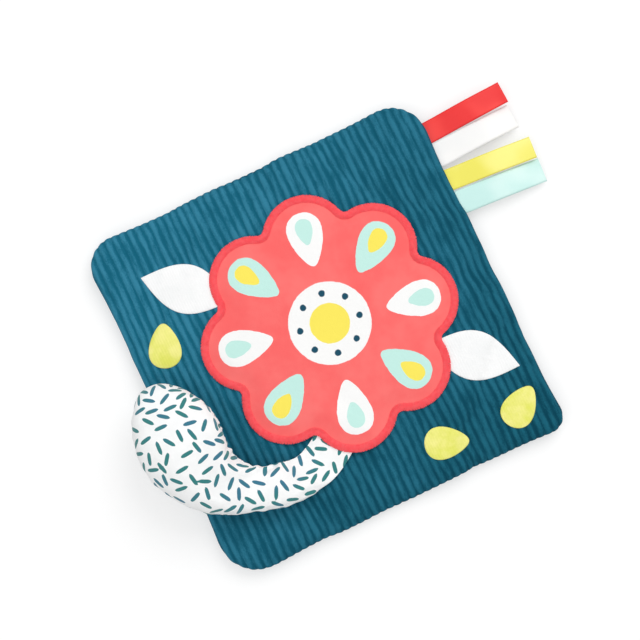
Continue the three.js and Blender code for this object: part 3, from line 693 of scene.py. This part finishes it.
def wale_tree():
    """Raises rounded ribs on cloth, by the flat distance across it."""
    tree, given = tree_with("wale_ribs", ("Pitch", "Height", "Wander", "Unevenness"), "Cloth")
    across, along, press = (named(tree, name) for name in ("across", "along", "press"))

    def flat_noise(x, y, scale):
        place = node(tree, "ShaderNodeCombineXYZ", {0: x, 1: y}).outputs[0]
        return noise(place, scale, 3.0)

    drift = calc("SUBTRACT", flat_noise(calc("MULTIPLY", across, 0.3), along, 60.0), 0.5)
    phase = calc("MULTIPLY_ADD", drift, given["Wander"], calc("DIVIDE", across, given["Pitch"]))
    off_crest = calc("ABSOLUTE", calc("MULTIPLY_ADD", calc("FRACT", phase), 2.0, -1.0))
    rib = calc("SUBTRACT", 1.0, calc("POWER", off_crest, 1.8))
    uneven = flat_noise(across, calc("MULTIPLY", along, 0.4), 420.0)
    lower = calc("MULTIPLY", uneven, given["Unevenness"])
    height = calc("MULTIPLY", calc("SUBTRACT", 1.0, lower), given["Height"])
    rise = calc("MULTIPLY", calc("MULTIPLY", rib, height), press)
    normal = node(tree, "GeometryNodeInputNormal").outputs[0]
    offset = node(tree, "ShaderNodeVectorMath", {0: normal, "Scale": rise}, operation="SCALE").outputs[0]
    # The rib's height is kept as wale, from which the cover's painted groove shade and crest highlights are
    # drawn.
    stored = node(tree, "GeometryNodeStoreNamedAttribute",
                  {"Geometry": given["Geometry"], "Name": "wale", "Value": rib},
                  data_type="FLOAT", domain="POINT").outputs[0]
    raised = node(tree, "GeometryNodeSetPosition", {"Geometry": stored, "Offset": offset}).outputs[0]
    finish_tree(tree, raised, given["Cloth"])
    return tree


def cover_rows():
    """Shares along the wales, closer together beside the seam."""
    fine = np.array([0, 0.5, 1, 1.6, 2.4, 3.4]) / (PAD_SIDE / 2)
    even = np.linspace(-1 + fine[-1], 1 - fine[-1], WALE_ROWS)[1:-1]
    return np.concatenate([-1 + fine, even, 1 - fine[::-1]])


def cover_face(side, puckers):
    """One face of the cover under its wales: places, flat places and how far the wales stand."""
    across, along = np.linspace(-1, 1, WALE_COLUMNS + 1), cover_rows()
    places, flat, edge = cloth_side(across, along, side)
    press = SEAM_PRESS + (1 - SEAM_PRESS) * smoothstep(edge, 0, SEAM_PRESS_RUN)
    move = spread(puckers, (across + 1) / 2, (along + 1) / 2)
    if side > 0:
        x, y = places[..., 0], places[..., 1]
        in_flower = inside_ring(x, y, FLOWER_RING)
        move = move * (1 - FLOWER_CALM * smoothstep(in_flower, *FLOWER_CALM_RUN))[..., None]
        in_patches = [inside_ring(x, y, ring[::3]) for _, ring in PATCHES.values()]
        sewn = np.max([in_flower] + in_patches, axis=0)
        press = press * (1 - (1 - SEWN_PRESS) * smoothstep(sewn, -SEWN_PRESS_RUN, 0))
    places = places + move
    if side < 0:
        places[..., 2] = np.maximum(places[..., 2], WALE_HEIGHT)
    return places, flat, press


def sewn_to_pad(piece, slot, *solids):
    """Moves a piece with the pad and hides the solids that it stands for; its material slot is not used."""
    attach(piece, "pad")
    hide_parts(*solids)


def corduroy_cover(*sides):
    points, faces, _, _, inner = two_sided(*[places for places, _, _ in sides])
    cover = make_piece("corduroy_cover", points, faces)
    scratch = {"across": [flat[..., 0] * MM for _, flat, _ in sides],
               "along": [flat[..., 1] * MM for _, flat, _ in sides],
               "press": [press for _, _, press in sides]}
    for name, (front, back) in scratch.items():
        set_attribute(cover, name, np.concatenate([front.reshape(-1), back[inner]]))
    apply_tree(cover, wale_tree(), Pitch=WALE_PITCH * MM, Height=WALE_HEIGHT * MM, Wander=WALE_WANDER,
               Unevenness=WALE_UNEVENNESS, Cloth=corduroy_finish())
    for name in scratch:
        take_attribute(cover, name)
    sewn_to_pad(cover, "corduroy", "front_panel", "back_panel")


front_puckers, back_puckers = pad_puckers()
front_face, back_face = cover_face(1, front_puckers), cover_face(-1, back_puckers)
corduroy_cover(front_face, back_face)

front_points = front_face[0].reshape(-1, 3)
front_grid = grid_faces(np.arange(len(front_points)).reshape(front_face[0].shape[:2]))
front_cloth = BVHTree.FromPolygons(front_points.tolist(), front_grid.tolist())


def wales_at(x, y, share=1.0):
    """Height of the front's wales at plan places, standing by a share of their full height."""
    heights = []
    for px, py in zip(np.ravel(x), np.ravel(y)):
        hit = front_cloth.ray_cast(Vector((px, py, 100.0)), Vector((0, 0, -1)))[0]
        heights.append(hit.z + WALE_HEIGHT * share if hit else float(front_top(px, py)))
    return np.array(heights).reshape(np.shape(x))


# Flower, whose lowest petal lies over the tail's sewn tab

TAIL_AHEAD = turned(TAIL_HEADING)
TAIL_SIDE = np.array([-TAIL_AHEAD[1], TAIL_AHEAD[0]])
TAIL_ROOT = FLOWER_CENTRE + PETAL_RING * turned(FLOWER_TURN) + (PETAL_RADIUS + TAIL_HINGE_GAP) * TAIL_AHEAD


def tab_lift(x, y):
    """How far the tail's sewn tab raises the petal over it."""
    dx, dy = x - TAIL_ROOT[0], y - TAIL_ROOT[1]
    along = -(dx * TAIL_AHEAD[0] + dy * TAIL_AHEAD[1]) - TAIL_TAB - TAB_SPARE
    beside = np.abs(dx * TAIL_SIDE[0] + dy * TAIL_SIDE[1]) - TAIL_ROOT_WIDTH / 2
    away = np.maximum(along, beside) - TAB_MARGIN
    return (TAIL_ROOT_THICKNESS + TAIL_CLEARANCE) * (1 - smoothstep(away, 0, TAB_FALL))


def flower_bed(x, y):
    return wales_at(x, y, SEWN_PRESS) + tab_lift(x, y)


def laid_cloth(name, rings, heights, under, material):
    """A closed piece of cloth from rings that go in to a middle point, with its underside."""
    count = len(rings[0])
    top = [np.column_stack([r, h]) for r, h in zip(rings, heights)]
    low = [np.column_stack([r, u]) for r, u in zip(rings, under)]
    tops, lows = (np.concatenate(side + [side[-1].mean(axis=0)[None]]) for side in (top, low))
    ids = np.arange(count * len(rings)).reshape(len(rings), count)
    low_ids = ids + len(tops)
    faces = [*grid_faces(ids, True)[:, ::-1], *grid_faces(low_ids, True)]
    faces += [*grid_faces(np.stack([ids[0], low_ids[0]]), True)]
    for k in range(count):
        j = (k + 1) % count
        faces.append([ids[-1][k], ids[-1][j], len(tops) - 1])
        faces.append([low_ids[-1][j], low_ids[-1][k], len(tops) + len(lows) - 1])
    return make_piece(name, np.concatenate([tops, lows]), faces, material)


def velour_flower():
    """The velour, pressed thin under its stitched edge and puffed up inside it."""
    insets = [0.3, 0.6, 1.2, 2.2, 3.2, 4.2, 5.2, 6.4, 7.8, 9.4, 11.0]
    shares = np.linspace(0.94, 0.04, 26)
    rings = [flower_outline(v) for v in insets]
    plateau, puffed = rings[-1], EDGING_WIDTH + VELOUR_PUFF_RUN
    rings += [FLOWER_CENTRE + (plateau - FLOWER_CENTRE) * s for s in shares]
    heights, under = [], []
    for ring, depth in zip(rings, insets + [puffed] * len(shares)):
        x, y = ring.T
        bed = flower_bed(x, y)
        puff = smoothstep(depth, EDGING_WIDTH - 0.4, puffed)
        heights.append(bed + VELOUR + VELOUR_PUFF * puff + ripple(x, y, seed=4, wave=34, size=0.1) * puff)
        under.append(bed - VELOUR_UNDER)
    flower = laid_cloth("velour_flower", rings, heights, under, flower_finish())
    sewn_to_pad(flower, "velour", "flower_applique")


def stitch_tree():
    """Lays one flat-topped stitch on each point, along its aim and upright."""
    tree, given = tree_with("satin_stitches", ("Length", "Rise", "Thickness"), "Thread")

    def spot(along, up):
        """A place on the stitch by shares of its half length and its rise."""
        sides = {0: calc("MULTIPLY", given["Length"], along / 2), 2: calc("MULTIPLY", given["Rise"], up)}
        return node(tree, "ShaderNodeCombineXYZ", sides).outputs[0]

    ends = {"Start": spot(-1, -0.4), "Start Handle": spot(-0.75, 1.47), "End Handle": spot(0.75, 1.47),
            "End": spot(1, -0.4), "Resolution": 8}
    path = node(tree, "GeometryNodeCurvePrimitiveBezierSegment", ends, mode="POSITION").outputs[0]
    ring = {"Resolution": 5, "Radius": given["Thickness"]}
    thread = node(tree, "GeometryNodeCurvePrimitiveCircle", ring, mode="RADIUS").outputs[0]
    stitch = node(tree, "GeometryNodeCurveToMesh",
                  {"Curve": path, "Profile Curve": thread, "Fill Caps": True}).outputs[0]
    aimed = node(tree, "FunctionNodeAlignRotationToVector", {"Vector": named(tree, "aim", "FLOAT_VECTOR")},
                 axis="X", pivot_axis="AUTO").outputs[0]
    stood = node(tree, "FunctionNodeAlignRotationToVector",
                 {"Rotation": aimed, "Vector": (0.0, 0.0, 1.0)}, axis="Z", pivot_axis="X").outputs[0]
    points = node(tree, "GeometryNodeMeshToPoints", {"Mesh": given["Geometry"]}, mode="VERTICES").outputs[0]
    laid = node(tree, "GeometryNodeInstanceOnPoints",
                {"Points": points, "Instance": stitch, "Rotation": stood}).outputs[0]
    finish_tree(tree, node(tree, "GeometryNodeSetShadeSmooth", {0: laid}).outputs[0], given["Thread"])
    return tree


def spaced(line, pitch):
    """Evenly spaced places on a closed line, with its direction there."""
    closed = np.concatenate([line, line[:1]])
    length = lengths_along(closed)
    count = int(round(length[-1] / pitch))
    at = np.arange(count) * length[-1] / count
    places = np.column_stack([np.interp(at, length, closed[:, k]) for k in (0, 1)])
    ahead = np.roll(places, -1, axis=0) - np.roll(places, 1, axis=0)
    return places, ahead / np.linalg.norm(ahead, axis=1, keepdims=True)


def satin_edging():
    """Close satin stitches over the edge of the velour."""
    places, ahead = spaced(flower_outline(EDGING_WIDTH / 2), STITCH_PITCH)
    chance = np.random.default_rng(11)
    inward = np.column_stack([-ahead[:, 1], ahead[:, 0]])
    places = places + inward * chance.normal(0, STITCH_SHIFT, (len(places), 1))
    reach = EDGING_WIDTH * 0.4
    low, high = (flower_bed(*(places + inward * way).T) for way in (-reach, reach))
    slope = (high - low) / (2 * reach)
    slant = chance.normal(0, STITCH_SLANT, (len(places), 1))
    aim = np.column_stack([inward + ahead * slant, slope])
    edging = make_piece("satin_edging", np.column_stack([places, (low + high) / 2 + VELOUR]), [])
    set_attribute(edging, "aim", aim, "FLOAT_VECTOR")
    apply_tree(edging, stitch_tree(), Length=EDGING_WIDTH * MM, Rise=(EDGING_RISE - THREAD_RADIUS) * MM,
               Thickness=THREAD_RADIUS * MM, Thread=thread_finish())
    sewn_to_pad(edging, "satin_thread", "flower_edging")


velour_flower()
satin_edging()


# Leaves and seeds


def sewn_patch(name, slot, material):
    """A smooth cloth patch sewn flat on the wales, with a soft edge."""
    centre, ring = PATCHES[name]
    shares = [1.0, 0.985, 0.955, 0.9, 0.82, 0.7, 0.55, 0.38, 0.2, 0.08]
    rings = [centre + (ring - centre) * s for s in shares]
    heights, under = [], []
    for share, (x, y) in zip(shares, (place.T for place in rings)):
        bed = wales_at(x, y, SEWN_PRESS)
        crown = PATCH_RISE * math.sqrt(1 - share**6)
        rise = PATCH_EDGE + crown + ripple(x, y, seed=8, wave=24, size=0.06) * (1 - share)
        tucked = smoothstep(inside_ring(x, y, FLOWER_RING), -1.5, 0.3)
        heights.append(bed + rise * (1 - tucked) + PATCH_TUCKED * tucked)
        under.append(bed - PATCH_UNDER)
    patch = laid_cloth(name, rings, heights, under, material)
    sewn_to_pad(patch, slot, name + "_patch")


white_cloth = plain_cloth("white_cloth", colour(246, 247, 247), colour(252, 252, 252))
yellow_cloth = plain_cloth("yellow_cloth", colour(230, 232, 104), colour(248, 243, 146))
for name in LEAF_TURNS:
    sewn_patch(name, "white_cloth", white_cloth)
for name in SEEDS:
    sewn_patch(name, "yellow_cloth", yellow_cloth)


# Tail

BEND_CENTRE = TAIL_ROOT + TAIL_BEND * turned(TAIL_HEADING - math.pi / 2)
ROOT_TOP = float(front_top(*TAIL_ROOT))


def tail_width(s):
    root = TAIL_ROOT_WIDTH + (TAIL_MIDDLE_WIDTH - TAIL_ROOT_WIDTH) * smoothstep(s, 0, TAIL_MIDDLE_AT)
    swell = smoothstep(s, TAIL_MIDDLE_AT, TAIL_LENGTH - TAIL_TIP)
    return root + (TAIL_END_WIDTH - TAIL_MIDDLE_WIDTH) * swell


def tail_row(s, t):
    """Points round the tail at a distance along it (below 0 on the sewn tab), and its line there."""
    if s < 0:
        at, out = TAIL_ROOT + TAIL_AHEAD * s, TAIL_SIDE
    else:
        out = turned(TAIL_HEADING + math.pi / 2 - s / TAIL_BEND)
        at = BEND_CENTRE + out * TAIL_BEND
    slack = TAIL_SLACK * smoothstep(s, 0, TAIL_SLACK_RUN)
    into = np.clip((s - (TAIL_LENGTH - slack - TAIL_TIP)) / TAIL_TIP, 0, 1)
    tip = (1 - into**TAIL_TIP_POWER) ** (1 / TAIL_TIP_POWER)
    width = tail_width(max(s, 0))
    swollen = smoothstep(s, TAIL_FLAT_ROOT, TAIL_FLAT_ROOT + TAIL_SWELL)
    flat_rise = TAIL_ROOT_THICKNESS / 2
    rise = flat_rise + (TAIL_HEIGHT / 2 * width / TAIL_END_WIDTH - flat_rise) * swollen
    middle = ROOT_TOP + TAIL_CLEARANCE + rise - TAIL_SAG * smoothstep(s, 0, TAIL_LENGTH)
    half, high = (width / 2 - slack) * tip, (rise - min(slack, rise / 2)) * tip
    plan = at + out * (np.cos(t) * half)[:, None]
    return np.column_stack([plan, middle + np.sin(t) * high]), at, out


def gathers(run, away, seed):
    """How far cloth is drawn in beside a sewn seam: small folds along it and a pinch on the seam."""
    chance = np.random.default_rng(seed)
    folds = sum(np.sin(2 * math.pi * run / wave + chance.uniform(0, 6.28)) for wave in GATHER_WAVES)
    drawn = GATHER_DEPTH * (0.5 + folds / 6) * np.exp(-((away / GATHER_REACH) ** 2))
    return drawn + SEAM_PINCH * np.exp(-((away / SEAM_PINCH_REACH) ** 2))


def crowded(spine, others, clear):
    """True where a dash would come too near another one, or lie beside one that points the same way."""
    beside = others[np.abs(others[:, 0] - spine[0]).max(axis=1) < 2 * DASH_LENGTH]
    if not len(beside):
        return False
    away = np.linalg.norm(beside.reshape(-1, 1, 3) - spine, axis=-1)
    ways = np.concatenate([beside[:, -1] - beside[:, 0], [spine[-1] - spine[0]]])
    ways /= np.linalg.norm(ways, axis=1, keepdims=True)
    apart = np.linalg.norm(beside.mean(axis=1) - spine.mean(axis=0), axis=1)
    alike = (np.abs(ways[:-1] @ ways[-1]) > DASH_ALIKE) & (apart < DASH_BESIDE)
    return away.min() < clear or alike.any()


def printed_dashes(points, normals, areas):
    """Ink over the cloth: over 0 inside short dashes that lie every way and keep clear of each other."""
    chance = np.random.default_rng(7)
    half, core = DASH_LENGTH / 2, np.linspace(-1, 1, 6)[:, None] * DASH_LENGTH / 2
    ink = np.full(len(points), -2.0)
    spines, ups = np.zeros((0, len(core), 3)), np.zeros((0, 3))
    for clear, tries in DASH_ROUNDS:
        for k in chance.choice(len(points), tries, p=areas / areas.sum()):
            normal, lean = normals[k], chance.normal(size=3)
            ahead = np.cross(normal, lean)
            ahead /= np.linalg.norm(ahead)
            spine, same_side = points[k] + core * ahead, spines[ups @ normal > -0.2]
            if crowded(spine, same_side, clear):
                continue
            near = np.flatnonzero((np.abs(points - points[k]).max(axis=1) < half * 1.5)
                                  & (normals @ normal > 0.3))
            away = np.linalg.norm(points[near, None] - spine, axis=-1)
            laid = points[near[away.argmin(axis=0)]]
            if away.min(axis=0).max() > DASH_LIFT or crowded(laid, same_side, clear):
                continue
            spines, ups = np.concatenate([spines, laid[None]]), np.concatenate([ups, normal[None]])
            offset = points[near] - points[k]
            far = np.abs(offset @ ahead) / half
            wide = DASH_WIDTH / 2 * (1 - far**4)
            ink[near] = np.maximum(ink[near], wide - np.abs(offset @ np.cross(normal, ahead)))
    return ink


def tail_shape(piece):
    """Draws in the seams, dents the stuffing and rests the tail on the wales."""
    run, outer, inner = (take_attribute(piece, name) for name in ("run", "outer", "inner"))
    points, normals = vertex_vectors(piece.data, "co") / MM, vertex_vectors(piece.data, "normal")
    stuffed = smoothstep(run, 2, TAIL_FLAT_ROOT + TAIL_SWELL) * smoothstep(TAIL_LENGTH - run, 1, 9)
    bend_folds = 1 + np.exp(-(((run - TAIL_LENGTH / 2) / 18) ** 2))
    drawn = gathers(run, outer, 31) + gathers(run, inner, 32) * bend_folds
    dents = ripple(points[:, 0] + 0.6 * points[:, 2], points[:, 1] - 0.4 * points[:, 2],
                   seed=33, wave=24, size=0.3)
    points = points + normals * ((dents - drawn) * stuffed)[:, None]
    reach = pad_reach(np.arctan2(points[:, 1], points[:, 0]))
    over = (np.hypot(points[:, 0], points[:, 1]) < reach - 2) & (points[:, 2] < ROOT_TOP + 6)
    points[over, 2] = np.maximum(points[over, 2], wales_at(*points[over, :2].T) + TAIL_REST)
    piece.data.vertices.foreach_set("co", (points * MM).ravel())
    piece.data.update()


def vertex_areas(mesh):
    """A share of the surface for each vertex."""
    areas = np.zeros(len(mesh.vertices))
    for face in mesh.polygons:
        areas[list(face.vertices)] += face.area / len(face.vertices)
    return areas


def stuffed_tail():
    run = np.concatenate([
        np.linspace(-TAIL_TAB, 0, TAB_ROWS + 1)[:-1],
        (TAIL_LENGTH - TAIL_SLACK - 0.05) * np.sin(np.linspace(0, 1, TAIL_STATIONS) ** 0.9 * math.pi / 2)])
    t = np.linspace(0, 2 * math.pi, TAIL_AROUND, endpoint=False)
    rows, flats, outer = [], [], []
    for s in run:
        row, at, out = tail_row(float(s), t)
        upper = row[: TAIL_AROUND // 2 + 1]
        length = lengths_along(upper)
        around = np.concatenate([length, length[-2:0:-1]])
        rows.append(row)
        outer.append(np.column_stack([around, length[-1] - around]))
        flats.append((at + out * (length[-1] / 2 - around)[:, None]) * MM)

    def with_ends(table):
        """All rows in one list, with a point for the middle of the first and the last."""
        return np.concatenate(table + [table[0].mean(axis=0)[None], table[-1].mean(axis=0)[None]])

    points = with_ends(rows)
    ids = np.arange(len(run) * TAIL_AROUND).reshape(len(run), TAIL_AROUND)
    first, last = len(points) - 2, len(points) - 1
    faces = [*grid_faces(ids, True)[:, ::-1]]
    for k in range(TAIL_AROUND):
        j = (k + 1) % TAIL_AROUND
        faces += [[ids[0][k], ids[0][j], first], [ids[-1][j], ids[-1][k], last]]
    tail = make_piece("stuffed_tail", points, faces, tail_finish())
    far = with_ends([np.full((TAIL_AROUND, 1), s) for s in run])
    mark_points(tail, "seam", ids[TAB_ROWS:, [0, TAIL_AROUND // 2]])
    mark_points(tail, "hold", [*ids[:HELD_ROWS].ravel(), first])
    moved = settle(tail, frames=26, pressure=3.5, stiffness=14.0, bending=0.25,
                   seam_shrink=(-0.02, 0.03), hold="hold") - points
    size = np.linalg.norm(moved, axis=1, keepdims=True)
    free = smoothstep(far, 4, 24) * smoothstep(TAIL_LENGTH - far, 0.5, 7)
    points = points + moved * free * np.minimum(1, TAIL_SETTLE_CAP / np.maximum(size, 1e-6))
    tail.data.vertices.foreach_set("co", (points * MM).ravel())
    sides = with_ends(outer)
    for name, values in (("run", far), ("outer", sides[:, 0]), ("inner", sides[:, 1])):
        set_attribute(tail, name, values)
    set_uv(tail, "flat", with_ends(flats))
    smooth = tail.modifiers.new("smooth", "SUBSURF")
    smooth.levels = smooth.render_levels = 2
    mesh = made_plain(tail).data
    printed = vertex_vectors(mesh, "co") / MM, vertex_vectors(mesh, "normal"), vertex_areas(mesh)
    set_attribute(tail, "ink", printed_dashes(*printed))
    tail_shape(tail)
    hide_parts("tail_root_tab", "tail_cover_front", "tail_cover_back", "tail_filling")
    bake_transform(tail)


stuffed_tail()


# Ribbons


def satin_ribbon(name, low, high, shown, arch, lift, wider):
    """A satin ribbon folded into a flat loop, with both ends sewn into the seam at its joint."""
    joints = {joint["name"]: joint for joint in frame["record"]["behaviour"]["joints"]}
    joint = joints[name + "_ribbon_flex"]
    hinge = np.array(joint["pos_m"][:2]) / MM
    side = -np.array(joint["axis"][:2])
    ahead = np.array([side[1], -side[0]])
    x = np.linspace(-RIBBON_SEWN, shown, 40)
    out = np.clip(x / shown, 0, 1)
    middle = SEAM_HEIGHT + arch * np.sin(math.pi * out) ** 1.5 + lift * out**2
    gap = RIBBON_GAP + RIBBON_OPENING * np.sin(math.pi * out) ** 2
    fold = np.linspace(-math.pi / 2, math.pi / 2, 9)[1:-1]
    path = np.concatenate([
        np.column_stack([x, middle + gap]),
        np.column_stack([shown + RIBBON_FOLD * np.cos(fold), middle[-1] - gap[-1] * np.sin(fold)]),
        np.column_stack([x, middle - gap])[::-1],
    ])
    run = lengths_along(path)
    aside = np.linspace(-RIBBON_WIDTH / 2, RIBBON_WIDTH / 2, 11)
    across = aside * (1 + wider / RIBBON_WIDTH) + wider / 2
    cup = RIBBON_CUP * (aside / (RIBBON_WIDTH / 2)) ** 2
    points, flat = [], []
    for (far, height), length in zip(path, run):
        place = hinge + ahead * far + side * across[:, None]
        points.append(np.column_stack([place, height - cup * np.clip(far / RIBBON_CUP_RUN, 0, 1)]))
        flat.append(np.column_stack([np.full(len(aside), length), aside]) * MM)
    ids = np.arange(len(path) * len(across)).reshape(len(path), len(across))
    satin = satin_finish(name + "_satin", low, high)
    ribbon = make_piece(name + "_satin_ribbon", np.concatenate(points), grid_faces(ids)[:, ::-1], satin)
    set_uv(ribbon, "flat", np.concatenate(flat))
    wall = ribbon.modifiers.new("wall", "SOLIDIFY")
    wall.thickness, wall.offset = RIBBON_CLOTH * MM, 1.0
    made_plain(ribbon)
    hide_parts(name + "_ribbon", name + "_ribbon_sewn_end")
    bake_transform(ribbon)


# Darker and lighter colour, length shown, arch, lift of the tip and added width
RIBBONS = {
    "red": (colour(240, 50, 50), colour(254, 74, 68), RIBBON_LENGTH - 2.0, 1.6, 1.5, 0.0),
    "white": (colour(246, 246, 245), colour(252, 251, 249), RIBBON_LENGTH - 2.0, 1.2, -1.5, 1.4),
    "yellow": (colour(244, 235, 100), colour(252, 245, 136), RIBBON_LENGTH, 1.8, 0.6, 0.0),
    "mint": (colour(204, 242, 236), colour(223, 250, 245), RIBBON_LENGTH, 1.2, -1.8, 1.1),
}
for name, look in RIBBONS.items():
    satin_ribbon(name, *look)


# Inside: crinkle film and wadding

FILLING_INSET = 12.0
FILM_LOW, FILM_HIGH, WADDING_LOW, FRONT_WALL = 1.75, 1.95, 2.9, 2.6


def inside_grid():
    """Plan places inside the pad, clear of its seam."""
    share = np.linspace(-1, 1, 61)
    A, B = np.meshgrid(share, share, indexing="ij")
    reach = pad_reach(np.arctan2(B, A)) - FILLING_INSET
    return np.moveaxis(square_to_pad(A, B, PAD_SIDE / 2 - FILLING_INSET, reach), -1, 0)


def inside_layer(name, x, y, low, high, material):
    """A closed layer inside the pad from its heights at plan places."""
    points, faces, *_ = two_sided(np.dstack([x, y, high]), np.dstack([x, y, low]))
    return make_piece(name, points, faces, material)


def creased(x, y):
    """Sharp small folds of stiff film."""
    chance = np.random.default_rng(21)
    total = 0
    for _ in range(10):
        a, p = chance.uniform(0, 2 * math.pi), chance.uniform(0, 10)
        run = (x * math.cos(a) + y * math.sin(a)) / chance.uniform(14, 34)
        total = total + np.abs((run + p) % 2 - 1)
    return 0.35 * (total / 5 - 1)


def crinkled_film():
    material, shader, place = new_finish("crinkle_film", roughness=0.18, gloss=0.6)
    paint(shader, mottled(place, colour(226, 234, 238), colour(240, 245, 247), 90.0, 3.0))
    x, y = inside_grid()
    folds = creased(x, y)
    film = inside_layer("crinkled_film", x, y, FILM_LOW + folds, FILM_HIGH + folds, material)
    sewn_to_pad(film, "film", "crinkle_film")


def fibre_wadding():
    material, shader, place = new_finish("fibre", roughness=1.0, sheen=0.3)
    paint(shader, mottled(place, colour(236, 236, 232), colour(248, 248, 245), 300.0, 4.0, 0.7))
    bump(shader, noise(place, 800.0, 4.0, 0.8), distance=0.0006, strength=0.8)
    x, y = inside_grid()
    lumps = ripple(x, y, seed=5, wave=18, size=0.12)
    top = front_top(x, y) - FRONT_WALL + lumps
    wadding = inside_layer("fibre_wadding", x, y, WADDING_LOW + lumps, top, material)
    sewn_to_pad(wadding, "fibre", "wadding")


crinkled_film()
fibre_wadding()


# Floor, light and camera

FLOOR_REACH, FLOOR_SHADE, FLOOR_GLOW = 3000.0, 0.55, 0.49


def floor():
    """White paper that shows as white in the picture and still takes the shadow."""
    paper, shader, _ = new_finish("paper", roughness=0.9, gloss=0.0)
    path = node(shader.id_data, "ShaderNodeLightPath").outputs
    seen = calc("MAXIMUM", path["Is Glossy Ray"], path["Is Transmission Ray"])
    seen = calc("MAXIMUM", path["Is Camera Ray"], seen)
    feed(shader, {"Base Color": (FLOOR_SHADE, FLOOR_SHADE, FLOOR_SHADE, 1), "Emission Color": (1, 1, 1, 1),
                  "Emission Strength": calc("MULTIPLY", seen, FLOOR_GLOW)})
    corners = np.array([[-1, -1, 0], [1, -1, 0], [1, 1, 0], [-1, 1, 0]]) * FLOOR_REACH
    make_piece("floor", corners, [[0, 1, 2, 3]], paper)


def stand(name, data, place, ahead):
    """Puts a lamp or a camera at a place and aims it."""
    holder = bpy.data.objects.new(name, data)
    holder.location = place
    holder.rotation_mode = "QUATERNION"
    holder.rotation_quaternion = ahead.to_track_quat("-Z", "Y")
    bpy.context.collection.objects.link(holder)
    return holder


def lamp(name, place, size, power):
    """A round soft lamp that faces the pad's middle."""
    light = bpy.data.lights.new(name, "AREA")
    light.shape, light.size, light.energy = "DISK", size, power
    stand(name, light, place, -Vector(place))


def camera():
    """The photograph's view: nearly from above, with the pad turned to the right."""
    azimuth, elevation, distance = math.radians(-25.5), math.radians(87.0), 0.9
    frame_width, frame_pixels = 0.2855, 640
    pad_middle_right, pad_middle_down = 4.0, 17.8  # pixels from the picture's middle
    flat_back = Vector((math.sin(azimuth), -math.cos(azimuth), 0))
    back = flat_back * math.cos(elevation) + Vector((0, 0, math.sin(elevation)))
    right = Vector((math.cos(azimuth), math.sin(azimuth), 0))
    pixel = frame_width / frame_pixels
    aim = Vector((0, 0, SEAM_HEIGHT * MM)) - right * pad_middle_right * pixel
    aim += back.cross(right) * pad_middle_down * pixel
    lens = bpy.data.cameras.new("camera")
    lens.sensor_width = 36.0
    lens.lens = lens.sensor_width * distance / frame_width
    bpy.context.scene.camera = stand("camera", lens, aim + back * distance, -back)


def studio(strength):
    """White all round: full white to the camera and softer as light."""
    scene = bpy.context.scene
    scene.world = scene.world or bpy.data.worlds.new("studio")
    scene.world.use_nodes = True
    tree = scene.world.node_tree
    seen = node(tree, "ShaderNodeLightPath").outputs["Is Camera Ray"]
    glow = calc("MULTIPLY_ADD", seen, 1.0 - strength, strength)
    feed(tree.nodes["Background"], {"Color": (1, 1, 1, 1), "Strength": glow})
    scene.view_settings.view_transform = "Standard"


floor()
lamp("key", place=(0.8, 0.6, 1.05), size=1.2, power=8.3)
lamp("fill", place=(-0.8, -0.3, 1.3), size=1.6, power=4.6)
camera()
studio(strength=0.65)
